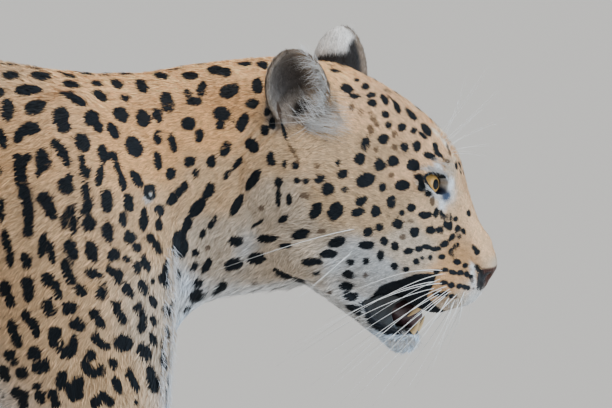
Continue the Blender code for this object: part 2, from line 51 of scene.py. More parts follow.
# The head's own frame, the eyes and the ears, as in the solids
HEAD_PLACE = Vector((0.331, -0.012, 0.560))
HEAD_PITCH, HEAD_YAW, HEAD_ROLL = math.radians(31), math.radians(-9), math.radians(2)
EYE_CENTRE = (84.0, 38.0, 53.0)
EYE_RADIUS, CORNEA_RISE = 14.5, 1.3
EYE_OUTWARD, EYE_UPWARD = math.radians(27), math.radians(28)
LID_INNER, LID_OUTER, LID_UPPER, LID_LOWER, LID_SLANT = 15.5, 13.5, 9.4, 8.2, 0.30
EARS = {
    "ear_right": ((-50, -66, 53), (-0.24, -0.30, 0.92), (0.22, -0.97, -0.10), (0.026, 0.033, 0.047)),
    "ear_left": ((-38, 56, 67), (-0.02, 0.22, 0.97), (0.66, 0.74, -0.04), (0.026, 0.028, 0.046)),
}
EAR_RISE = 0.024
MOUTH_GAP = ((97, -80), (104, -69), (116, -62), (132, -58.5), (149, -57), (164, -52), (176, -40),
             (215, -20), (215, -96), (160, -87), (152, -83), (140, -86), (128, -89), (112, -88))
# The black skin of the lips, and above it the painted shade under the whisker pads, seen from the side in
# the head's frame
BLACK_LIPS_AND_PAD_SHADE = ((97, -72), (100, -56), (108, -46), (115, -39), (123, -28), (133, -21), (142, -17), (145, -27),
            (145, -41), (158, -45), (167, -46), (176, -40), (184, -36), (184, -42), (172, -53), (160, -60),
            (156, -66), (158, -76), (150, -86), (136, -94), (128, -99), (112, -100), (102, -93), (96, -82))
# The dark slit of each nostril on the side of the nose, and the line behind which fur grows
NOSTRIL_SLIT = ((171, 7), (176, 5), (181, -3), (184, -10))
NOSE_SLOPE, NOSE_REAR = 0.65, 174.0

# Camera, at the photo's framing, and the photo's middle in its own pixels, each a millimetre on the animal
CAMERA_TARGET = Vector((0.306, 0.0, 0.536))
CAMERA_DISTANCE, CAMERA_ELEVATION, FRAME_WIDTH = 8.0, math.radians(4), 0.612
PHOTO_MIDDLE = (306, 204)

# Skin
SEAL = 0.45 * MM
HEAD_VOXEL, BODY_VOXEL = 1.8 * MM, 4.0 * MM
NECK_JOIN = 0.2150
SKIN_KEEP = 0.62

# Coat: blades in all, the most in one piece, and how far each stands from the skin
BLADES = 690000
PIECE_BLADES = 98000
LIFT = math.radians(15)
DEPTH_SHARE = 0.30

# Colours of the coat, linear
TAWNY = (0.70, 0.39, 0.17)
BACK = (0.66, 0.45, 0.26)
GOLD = (0.63, 0.38, 0.19)
SAND = (0.59, 0.39, 0.22)
CREAM = (0.56, 0.45, 0.34)
WHITE = (0.76, 0.75, 0.74)
BRIDGE = (0.72, 0.48, 0.28)
MUZZLE = (0.56, 0.33, 0.16)
CROWN = (0.72, 0.46, 0.26)
NAPE = (0.86, 0.52, 0.25)
# White fur of the chest's front and the chin, painted with a bluish cast of skylight
SKYLIT_WHITE = (0.62, 0.72, 0.84)
TEMPLE = (0.52, 0.35, 0.20)
# White fur of the lower cheek and jaw, painted grey as the shade under the head
SHADED_WHITE = (0.56, 0.55, 0.54)
# Black of the marks, with a slight painted blue of the sky's reflection
BLACK = (0.005, 0.008, 0.012)
# How far a mark spreads past its drawn size, in millimetres
MARK_SPREAD = 0.95
# Skin that faces the camera less than this is taken to face it more, so that no mark is drawn out too far
LEAST_FACING = 0.45
# The rear, front and bottom of what the photo shows, in metres, and the vertices tried for marks elsewhere
SEEN_REAR, SEEN_FRONT, SEEN_BOTTOM = -0.004, 0.60, 0.334
MARK_TRIES = 30000


# Frames

def matrix_rows(matrix):
    return np.array(matrix, float)


def moved(points, matrix):
    """Points through a 4x4 matrix."""
    rows = matrix_rows(matrix)
    return points @ rows[:3, :3].T + rows[:3, 3]


def vertex_places(mesh):
    places = np.empty(len(mesh.vertices) * 3, np.float32)
    mesh.vertices.foreach_get("co", places)
    return places.reshape(-1, 3).astype(float)


def vertex_normals(mesh):
    normals = np.empty(len(mesh.vertices) * 3, np.float32)
    mesh.vertices.foreach_get("normal", normals)
    return normals.reshape(-1, 3).astype(float)


def set_places(mesh, places):
    mesh.vertices.foreach_set("co", places.astype(np.float32).ravel())
    mesh.update()


def linked(name, data):
    """A new object in the scene."""
    obj = bpy.data.objects.new(name, data)
    bpy.context.scene.collection.objects.link(obj)
    return obj


def merged_copy(node, name):
    """A solid's mesh as a new object, its loose triangles joined."""
    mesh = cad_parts[node].data.copy()
    mesh.materials.clear()
    bm = bmesh.new()
    bm.from_mesh(mesh)
    bmesh.ops.remove_doubles(bm, verts=bm.verts, dist=1e-6)
    bm.to_mesh(mesh)
    bm.free()
    return linked(name, mesh)


def plain_head_matrix():
    place = Matrix.Translation(HEAD_PLACE) @ Matrix.Rotation(HEAD_YAW, 4, "Z")
    place = place @ Matrix.Rotation(HEAD_PITCH, 4, "Y") @ Matrix.Rotation(HEAD_ROLL, 4, "X")
    return place @ Matrix.Scale(MM, 4)


def eye_turn(side):
    x, y, z = EYE_CENTRE
    turn = Matrix.Translation((x, side * y, z)) @ Matrix.Rotation(side * EYE_OUTWARD, 4, "Z")
    return turn @ Matrix.Rotation(-EYE_UPWARD, 4, "Y")


def found_shift():
    """How far the packing moved the animal, read from the right eye."""
    ball = merged_copy("eye_right", "eye_probe")
    centre = vertex_places(ball.data).mean(0)
    bpy.data.objects.remove(ball)
    return Vector(centre) - plain_head_matrix() @ eye_turn(-1) @ Vector((0.15, 0, 0))


SHIFT = found_shift()
SHIFT_ROW = np.array(SHIFT)
HEAD = Matrix.Translation(SHIFT) @ plain_head_matrix()
TO_HEAD = HEAD.inverted()
EYES = {side: HEAD @ eye_turn(side) for side in (-1, 1)}


def ear_frame(name):
    """From the ear's own unit egg to the animal's frame."""
    root, up, opening, radii = EARS[name]
    z = Vector(up).normalized()
    x = (Vector(opening) - z * Vector(opening).dot(z)).normalized()
    turn = Matrix((x, z.cross(x), z)).transposed().to_4x4()
    centre = HEAD @ Vector(root) + z * EAR_RISE
    return Matrix.Translation(centre) @ turn @ Matrix.Diagonal((*radii, 1.0))


EAR_FRAMES = {name: ear_frame(name) for name in EARS}
TO_EARS = {name: place.inverted() for name, place in EAR_FRAMES.items()}

# The camera's axes, used to aim it and to lay each seen mark on the skin
BACKWARD = Vector((0, -math.cos(CAMERA_ELEVATION), math.sin(CAMERA_ELEVATION)))
RIGHTWARD = Vector((1, 0, 0))
UPWARD = BACKWARD.cross(RIGHTWARD)
EYE_POINT = CAMERA_TARGET + SHIFT + BACKWARD * CAMERA_DISTANCE


def photo_ray(x, y):
    """The way from the camera to a place in the photo, in its pixels."""
    right, up = (x - PHOTO_MIDDLE[0]) * MM, (PHOTO_MIDDLE[1] - y) * MM
    return (CAMERA_TARGET + SHIFT + RIGHTWARD * right + UPWARD * up - EYE_POINT).normalized()


# Small tools

def choose(*objs):
    """Only these objects are selected, the last one active."""
    bpy.ops.object.select_all(action="DESELECT")
    for obj in objs:
        obj.select_set(True)
    bpy.context.view_layer.objects.active = objs[-1]


def apply_all(obj):
    choose(obj)
    for modifier in list(obj.modifiers):
        bpy.ops.object.modifier_apply(modifier=modifier.name)


def face_outward(obj):
    """Every face turned out, and the shading smooth."""
    choose(obj)
    bpy.ops.object.mode_set(mode="EDIT")
    bpy.ops.mesh.select_all(action="SELECT")
    bpy.ops.mesh.normals_make_consistent(inside=False)
    bpy.ops.object.mode_set(mode="OBJECT")
    bpy.ops.object.shade_smooth()


def edge_ends(mesh):
    ends = np.empty(len(mesh.edges) * 2, np.int32)
    mesh.edges.foreach_get("vertices", ends)
    return ends.reshape(-1, 2)


def neighbour_means(values, ends):
    """The mean of each vertex's neighbours, column by column."""
    a, b = ends[:, 0], ends[:, 1]
    count = len(values)
    degree = np.maximum(np.bincount(a, minlength=count) + np.bincount(b, minlength=count), 1)[:, None]
    sums = [np.bincount(a, column[b], count) + np.bincount(b, column[a], count) for column in values.T]
    return np.stack(sums, 1) / degree


def spread(values, ends, rounds):
    """Averages a value of each vertex with its neighbours'."""
    values = values.reshape(len(values), -1).astype(float)
    for _ in range(rounds):
        values = 0.5 * values + 0.5 * neighbour_means(values, ends)
    return values


def even_out(obj, weight, rounds, forward=0.6, back=-0.62):
    """Smooths a mesh and keeps its girth, each vertex by its weight."""
    places, ends = vertex_places(obj.data), edge_ends(obj.data)
    for _ in range(rounds):
        for step in (forward, back):
            places += step * weight[:, None] * (neighbour_means(places, ends) - places)
    set_places(obj.data, places)


def unit(rows):
    return rows / np.maximum(np.linalg.norm(rows, axis=-1, keepdims=True), 1e-12)


def ramp(values, low, high):
    """0 at low, 1 at high, smooth between."""
    t = np.clip((values - low) / (high - low), 0, 1)
    return t * t * (3 - 2 * t)


def waves(points, size, seed, count=7):
    """A smooth value between about -1 and 1 that varies over the given size in metres."""
    draw = np.random.default_rng(seed)
    directions = unit(draw.normal(size=(count, 3))) * (2 * math.pi / size)
    directions *= draw.uniform(0.6, 1.5, (count, 1))
    phases = draw.uniform(0, 2 * math.pi, count)
    return np.sin(points @ directions.T + phases).sum(1) / math.sqrt(count)


def segment_distance(points, start, end):
    along = end - start
    t = np.clip(((points - start) @ along) / (along @ along), 0, 1)
    return np.linalg.norm(points - start - t[:, None] * along, axis=1)


def outline_distance(points, outline):
    """Distance of flat points from a closed outline, below zero inside."""
    outline = np.array(outline, float)
    inside = np.zeros(len(points), bool)
    nearest = np.full(len(points), 1e9)
    for start, end in zip(outline, np.roll(outline, -1, 0)):
        nearest = np.minimum(nearest, segment_distance(points, start, end))
        crosses = (start[1] > points[:, 1]) != (end[1] > points[:, 1])
        run, rise = end - start
        rise = rise if abs(rise) > 1e-9 else 1e-9
        edge = start[0] + (points[:, 1] - start[1]) * run / rise
        inside ^= crosses & (points[:, 0] < edge)
    return np.where(inside, -nearest, nearest)


def line_distance(points, line):
    """Distance of flat points from an open line."""
    line = np.array(line, float)
    nearest = np.full(len(points), 1e9)
    for start, end in zip(line[:-1], line[1:]):
        nearest = np.minimum(nearest, segment_distance(points, start, end))
    return nearest


def slit_distance(head):
    """Distance in millimetres from the slit of a nostril, in the head's frame, far off elsewhere."""
    away = line_distance(head[:, (0, 2)], NOSTRIL_SLIT)
    return np.where((head[:, 0] > 150) & (abs(head[:, 1]) > 7), away, 99.0)


def lid_distance(points, side):
    """Millimetres from the lids' edge, below zero in the opening, and the points in the eye's frame."""
    local = moved(points, EYES[side].inverted())
    across = -side * local[:, 1]
    height = local[:, 2] + LID_SLANT * across
    wide = np.where(across > 0, LID_INNER, LID_OUTER)
    tall = np.where(height > 0, LID_UPPER, LID_LOWER)
    reach = np.sqrt((across / wide) ** 2 + (height / tall) ** 2)
    return (reach - 1) * np.minimum(wide, tall) * 1.15, local


# The lie, length and colour of the coat

# Body, in millimetres: place, reach, lie, length of hair, colour; a y above zero means both sides
BODY_LIE = (
    (-780, 0, 640, 60, -1, 0, -0.5, 11, BACK), (-650, 0, 680, 70, -1, 0, -0.05, 12, BACK),
    (-450, 0, 680, 90, -1, 0, 0, 12, BACK), (-250, 0, 672, 90, -1, 0, 0, 12, BACK),
    (-60, 0, 686, 90, -1, 0, 0, 12, BACK), (120, 0, 672, 60, -1, 0, 0, 10, NAPE),
    (230, 0, 684, 50, -1, 0, 0, 8, NAPE), (-700, 100, 560, 70, -0.8, 0, -0.6, 12, GOLD),
    (-500, 110, 560, 90, -1, 0, -0.25, 13, GOLD), (-300, 120, 540, 90, -1, 0, -0.25, 13, GOLD),
    (-100, 118, 540, 90, -0.95, 0, -0.35, 13, GOLD), (40, 100, 600, 60, -0.9, 0, -0.4, 11, GOLD),
    (50, 100, 530, 60, -0.75, 0, -0.65, 12, SAND), (60, 100, 440, 60, -0.6, 0, -0.8, 12, SAND),
    (150, 85, 600, 50, -0.9, 0, -0.4, 9, TAWNY), (150, 85, 530, 45, -0.7, 0, -0.7, 10, SAND),
    (140, 80, 430, 45, -0.4, 0, -0.9, 13, CREAM), (170, 60, 430, 30, -0.1, 0, -1, 15, WHITE),
    (-450, 98, 440, 60, -1, 0, -0.3, 15, CREAM), (-250, 108, 420, 70, -1, 0, -0.3, 15, CREAM),
    (-80, 104, 400, 60, -0.9, 0, -0.4, 15, CREAM), (-650, 0, 424, 60, -1, 0, -0.2, 15, WHITE),
    (-450, 0, 392, 80, -1, 0, 0, 18, WHITE), (-230, 0, 352, 80, -1, 0, 0, 18, WHITE),
    (-60, 0, 346, 80, -1, 0, 0, 18, WHITE), (90, 0, 352, 50, -0.8, 0, -0.3, 18, WHITE),
    (178, 0, 400, 45, 0.15, 0, -1, 17, SKYLIT_WHITE), (190, 0, 470, 35, -0.1, 0, -1, 15, WHITE),
    (240, 0, 452, 35, -0.5, 0, -0.8, 13, WHITE), (290, 0, 455, 35, -0.7, 0, -0.7, 12, WHITE),
    (215, 84, 620, 40, -0.95, 0, -0.3, 8, TAWNY), (215, 84, 565, 40, -0.8, 0, -0.6, 9, SAND),
    (215, 80, 500, 40, -0.6, 0, -0.8, 10, CREAM), (275, 80, 600, 35, -0.85, 0, -0.5, 7, SAND),
    (275, 80, 545, 35, -0.6, 0, -0.8, 8, CREAM), (270, 70, 480, 35, -0.5, 0, -0.8, 10, CREAM),
    (168, 52, 350, 26, 0.1, 0, -1, 15, SKYLIT_WHITE), (176, 45, 480, 26, 0, 0, -1, 14, SKYLIT_WHITE),
    (-660, 100, 470, 60, -0.4, 0, -0.9, 12, GOLD), (-600, 40, 420, 50, -0.6, 0, -0.8, 14, WHITE),
)
# Head, in its own frame
HEAD_LIE = (
    (172, 0, 27, 10, -1, 0, 0.4, 2.4, BRIDGE), (185, 0, 18, 8, -0.6, 0, 1, 1.8, CREAM),
    (145, 0, 50, 18, -1, 0, 0.35, 3.2, BRIDGE), (112, 0, 76, 16, -1, 0, 0.6, 4.2, BRIDGE),
    (70, 0, 101, 22, -1, 0, 0.15, 5.0, CROWN), (10, 0, 108, 35, -1, 0, 0, 6.0, CROWN),
    (-60, 0, 98, 35, -1, 0, -0.1, 7.0, NAPE), (10, 45, 96, 25, -1, 0.1, 0, 5.5, CROWN),
    (82, 36, 77, 12, -0.8, 0.4, 0.5, 5.0, CROWN), (97, 26, 74, 9, -0.6, 0.3, 0.7, 4.5, CREAM),
    (106, 29, 54, 7, -0.3, 0.4, 0.4, 3.0, WHITE), (90, 45, 36, 8, -0.8, 0.1, -0.6, 3.2, BRIDGE),
    (62, 56, 50, 12, -1, 0.1, -0.1, 4.2, CROWN), (112, 36, 28, 12, -0.8, 0.3, -0.4, 3.2, BRIDGE),
    (30, 76, 62, 22, -1, 0.1, -0.1, 5.5, TEMPLE), (60, 70, 20, 22, -0.9, 0.1, -0.3, 5.0, TEMPLE),
    (20, 85, 10, 28, -0.9, 0, -0.45, 7.0, TEMPLE), (0, 75, -45, 28, -0.75, 0, -0.65, 8.5, CREAM),
    (-50, 84, 10, 28, -0.8, 0, -0.6, 8.0, TEMPLE), (-30, 60, -85, 25, -0.7, 0, -0.7, 11, SHADED_WHITE),
    (150, 44, -22, 12, -0.85, 0.25, -0.4, 3.0, MUZZLE), (152, 38, 6, 12, -0.95, 0.15, -0.1, 2.8, MUZZLE),
    (168, 28, -38, 10, -0.3, 0.1, -0.9, 3.6, CREAM), (178, 12, -28, 8, 0, 0, -1, 3.6, WHITE),
    (110, 56, -8, 18, -0.9, 0.1, -0.3, 4.0, CREAM), (100, 54, -42, 14, -0.8, 0, -0.5, 4.8, SHADED_WHITE),
    (62, 66, -45, 18, -0.8, 0, -0.5, 7.0, SHADED_WHITE), (146, 0, -112, 14, -0.3, 0, -1, 9.0, SKYLIT_WHITE),
    (130, 22, -108, 12, -0.6, 0.1, -0.9, 9.0, SKYLIT_WHITE), (92, 36, -106, 18, -0.8, 0, -0.6, 8.0, SHADED_WHITE),
    (60, 0, -106, 28, -1, 0, -0.2, 10, WHITE), (0, 0, -106, 32, -0.9, 0, -0.4, 12, WHITE),
)
# Legs, in millimetres: side, outward half width, then x and z down the leg's middle
LEGS = (
    (-1, 42, ((102, 380), (112, 305), (122, 225), (131, 155), (136, 105))),
    (1, 42, ((34, 380), (-2, 305), (-28, 225), (-52, 155), (-62, 105))),
    (-1, 38, ((-624, 370), (-678, 300), (-740, 235), (-792, 180), (-804, 130), (-798, 80))),
    (1, 38, ((-558, 370), (-572, 300), (-608, 235), (-642, 180), (-638, 130), (-618, 80))),
)
PAWS = ((140, -76), (-60, 76), (-790, -75), (-607, 75))
TAIL = ((-755, 0, 612, 40), (-820, 0, 587, 36), (-880, 4, 522, 30), (-930, 10, 430, 26.5),
        (-975, 18, 335, 25.5), (-1025, 26, 250, 25.5), (-1090, 32, 190, 25.5), (-1165, 34, 172, 25.5),
        (-1235, 30, 196, 25.5),
        (-1280, 22, 250, 24.5), (-1297, 14, 305, 20), (-1297, 10, 335, 11))


def lie_table():
    """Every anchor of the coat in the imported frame: place, reach, lie, length and colour."""
    rows = []
    for x, y, z, reach, dx, dy, dz, length, colour in BODY_LIE:
        length *= 1.0 if colour in (WHITE, SKYLIT_WHITE) else 0.82
        for side in ((-1, 1) if y else (0,)):
            place = Vector((x, y * side, z)) * MM + SHIFT
            rows.append((place, reach * MM, (dx, dy * side, dz), length, colour))
    for x, y, z, reach, dx, dy, dz, length, colour in HEAD_LIE:
        for side in ((-1, 1) if y else (0,)):
            lie = HEAD.to_3x3() @ Vector((dx, dy * side, dz)) / MM
            rows.append((HEAD @ Vector((x, y * side, z)), reach * MM, tuple(lie), length, colour))
    for side, half, stations in LEGS:
        for k, (x, z) in enumerate(stations):
            ahead = stations[min(k + 1, len(stations) - 1)]
            behind = stations[max(k - 1, 0)]
            lie = Vector((ahead[0] - behind[0], 0, ahead[1] - behind[1])).normalized()
            length = 5.5 + 3.5 * min(1.0, max(0.0, (z - 130) / 220))
            for out, colour in ((1, SAND if z > 150 else CREAM), (-1, WHITE)):
                place = Vector((x, side * (78 + out * half), z)) * MM + SHIFT
                rows.append((place, 0.034, tuple(lie), length, colour))
    for x, y in PAWS:
        rows.append((Vector((x, y, 60)) * MM + SHIFT, 0.030, (0.4, 0, -1), 4.5, CREAM))
        rows.append((Vector((x + 55, y, 35)) * MM + SHIFT, 0.034, (1, 0, -0.4), 4.2, CREAM))
    for k, (x, y, z, radius) in enumerate(TAIL):
        ahead, behind = TAIL[min(k + 1, len(TAIL) - 1)], TAIL[max(k - 1, 0)]
        lie = Vector((ahead[0] - behind[0], ahead[1] - behind[1], ahead[2] - behind[2])).normalized()
        over = Vector((-lie.z, 0, lie.x)).normalized() * (-1 if lie.x > 0 else 1)
        length = 10.0 + 0.35 * k
        for out, colour in ((1, GOLD), (-1, WHITE if k > 4 else CREAM)):
            place = (Vector((x, y, z)) - over * out * radius) * MM + SHIFT
            rows.append((place, 0.030, tuple(lie), length, colour))
    return rows


LIE_ROWS = lie_table()


def coat_at(points):
    """Lie, length in millimetres and ground colour of the coat at each point."""
    place = np.array([tuple(r[0]) for r in LIE_ROWS])
    reach = np.array([r[1] for r in LIE_ROWS])
    facts = np.array([(*unit(np.array(r[2])), r[3], *r[4]) for r in LIE_ROWS])
    out = np.empty((len(points), facts.shape[1]))
    for start in range(0, len(points), 20000):
        part = points[start:start + 20000]
        away = ((part[:, None, :] - place[None]) ** 2).sum(-1) / reach ** 2
        weight = 1.0 / (away + 0.08) ** 3
        out[start:start + 20000] = weight @ facts / weight.sum(1, keepdims=True)
    return out[:, :3], out[:, 3], out[:, 4:]


# The markings

# Seen on the head, in the photo's frame: x, y, two widths, then the tilt of the longer one, right end up;
# a sixth number of 1 makes the mark small and brown
HEAD_SEEN = (
    (335, 71, 10, 5, -15), (356, 80, 6, 4), (346, 88, 12, 8, -20), (365, 86, 8, 7), (354, 96, 9, 5),
    (371, 95, 8, 5), (372, 103, 8, 7), (384, 99, 11, 6, -60), (386, 92, 7, 3, -35, 1),
    (396, 91, 5, 3, 0, 1), (396, 106, 15, 5, -62), (411, 114, 15, 6, -48), (426, 129, 14, 7, -52),
    (385, 114, 7, 7), (388, 125, 6, 7), (401, 127, 7, 8), (413, 130, 6, 5), (420, 134, 4, 4),
    (424, 137, 4, 4), (373, 119, 5, 5, 0, 1), (376, 124, 4, 5, 0, 1), (370, 129, 5, 7, 0, 1),
    (370, 113, 4, 4, 0, 1), (351, 107, 4, 5, 0, 1), (360, 112, 4, 5, 0, 1), (383, 139, 9, 10),
    (365, 144, 12, 8, 75), (376, 150, 4, 5, 0, 1), (394, 147, 4, 5, 0, 1), (394, 134, 4, 6, 0, 1),
    (404, 147, 7, 9), (416, 146, 8, 10), (435, 146, 5, 8), (430, 156, 12, 6, -25), (438, 154, 8, 4, -35),
    (446, 161, 6, 4, -20, 1), (449, 152, 3, 5, 0, 1), (447, 146, 3, 5, 0, 1), (456, 165, 3, 8),
    (460, 166, 3, 7), (463, 170, 2, 4), (359, 159, 10, 11), (379, 165, 10, 11), (393, 161, 10, 11),
    (413, 165, 12, 12), (342, 174, 10, 9), (365, 180, 19, 13, 20), (390, 175, 5, 4, 0, 1),
    (382, 187, 6, 8), (402, 185, 14, 10), (419, 177, 7, 6), (421, 186, 6, 11), (428, 194, 5, 6),
    (432, 201, 4, 7, 0, 1), (344, 190, 6, 5), (327, 189, 12, 12), (319, 179, 10, 7, 30), (305, 181, 5, 5),
    (296, 181, 6, 6), (278, 183, 7, 9), (278, 198, 5, 17), (289, 200, 5, 10), (304, 196, 8, 6, 0, 1),
    (315, 211, 17, 11, 60), (335, 211, 19, 13, 60), (360, 201, 13, 8, 25), (357, 212, 12, 8, 10),
    (391, 202, 8, 12), (375, 211, 9, 11), (411, 208, 8, 8), (401, 213, 4, 4), (425, 215, 12, 7),
    (436, 213, 4, 9), (441, 215, 3, 8), (444, 217, 2, 5), (447, 217, 2, 5), (450, 217, 2, 5),
    (456, 219, 3, 4), (469, 213, 4, 6), (397, 224, 10, 9), (379, 227, 7, 7), (368, 232, 9, 7, 35),
    (414, 232, 9, 9), (410, 221, 5, 3, 0, 1), (430, 230, 9, 7), (440, 230, 6, 7), (445, 225, 4, 6),
    (450, 226, 4, 7), (457, 229, 5, 7), (463, 231, 3, 5), (459, 236, 3, 5), (451, 237, 7, 4, 50),
    (283, 219, 9, 6, 30), (261, 209, 4, 5, 0, 1), (300, 234, 17, 10, 15), (321, 231, 7, 4, 0, 1),
    (267, 239, 18, 7), (285, 246, 11, 5), (256, 259, 18, 11), (336, 242, 16, 10, 20), (328, 254, 17, 8),
    (311, 262, 19, 8), (316, 273, 7, 4), (285, 273, 22, 12, -10), (298, 280, 14, 8, -20),
    (350, 262, 8, 6), (366, 261, 6, 6), (380, 255, 6, 9), (366, 245, 15, 8), (384, 241, 7, 7),
    (394, 246, 7, 8), (402, 237, 5, 4, 0, 1), (408, 251, 9, 6, 10), (418, 249, 6, 4.5),
    (427, 247, 9, 4.5, -10), (436, 249, 9, 4, 5), (444, 244, 8, 6, 40), (456, 245, 5, 4, 35),
    (452, 250, 5, 3, 20), (451, 254, 4, 4), (442, 257, 6, 4), (430, 257, 4, 5), (422, 258, 3, 3),
    (416, 262, 5, 5), (405, 269, 5, 4), (394, 266, 6, 6), (457, 262, 6, 4.5), (465, 265, 4, 4.5),
    (436, 272, 5, 4), (445, 270, 6, 3.5, -5), (452, 272, 7, 4.5, -5), (460, 273, 5.5, 4.5),
    (467, 274, 3.5, 5), (471, 277, 3, 5), (472, 280, 2, 4, 0, 1), (444, 283, 7, 4), (451, 285, 6, 4.5),
    (459, 286, 4.5, 4.5), (464, 287, 4, 4), (468, 288, 4, 3.5), (473, 289, 3, 2, 0, 1),
    (437, 294, 8, 4, -10), (444, 294, 7, 5), (451, 296, 4, 4), (455, 297, 3, 2.5, 0, 1),
    # Painted shade: the first two marks on the next line are the shade behind the nose, not spots
    (474, 248, 5, 4, -45), (477, 252, 4, 4, -45), (347, 274, 11, 8), (346, 286, 12, 8),
    (349, 296, 13, 8, -20), (353, 309, 17, 7, -38), (365, 275, 4, 4, 0, 1), (329, 291, 7, 3, 0, 1),
    (271, 162, 8, 8), (284, 164, 4, 10), (295, 166, 6, 7), (316, 166, 4, 6, 0, 1), (337, 163, 4, 6),
    # Painted shade: the three thin dark lines on the next line lie in the creases of the skin folds behind
    # the ear
    (284, 132, 3, 20, -75), (279, 112, 3, 16, -80, 1), (293, 152, 3, 20, -60, 1),
)
# Patches of the face seen in the photo: x, y, radius in millimetres and colour
PATCHES_SEEN = (
    (451, 184, 6.5, (0.86, 0.86, 0.87)), (443, 205, 5.5, (0.82, 0.82, 0.83)),
    (440, 168, 6.0, (0.62, 0.62, 0.63)), (441, 193, 7.0, (0.06, 0.085, 0.15)),
    (447, 197, 6.0, (0.07, 0.10, 0.17)), (438, 190, 4.5, (0.03, 0.04, 0.07)),
    # The next three patches, on the brow and forehead, are pale brow fur brightened with painted highlight
    # from the light above
    (447, 146, 7.5, (0.84, 0.76, 0.66)), (437, 134, 7.0, (0.84, 0.74, 0.60)),
    (455, 160, 5.0, (0.80, 0.66, 0.48)),
)
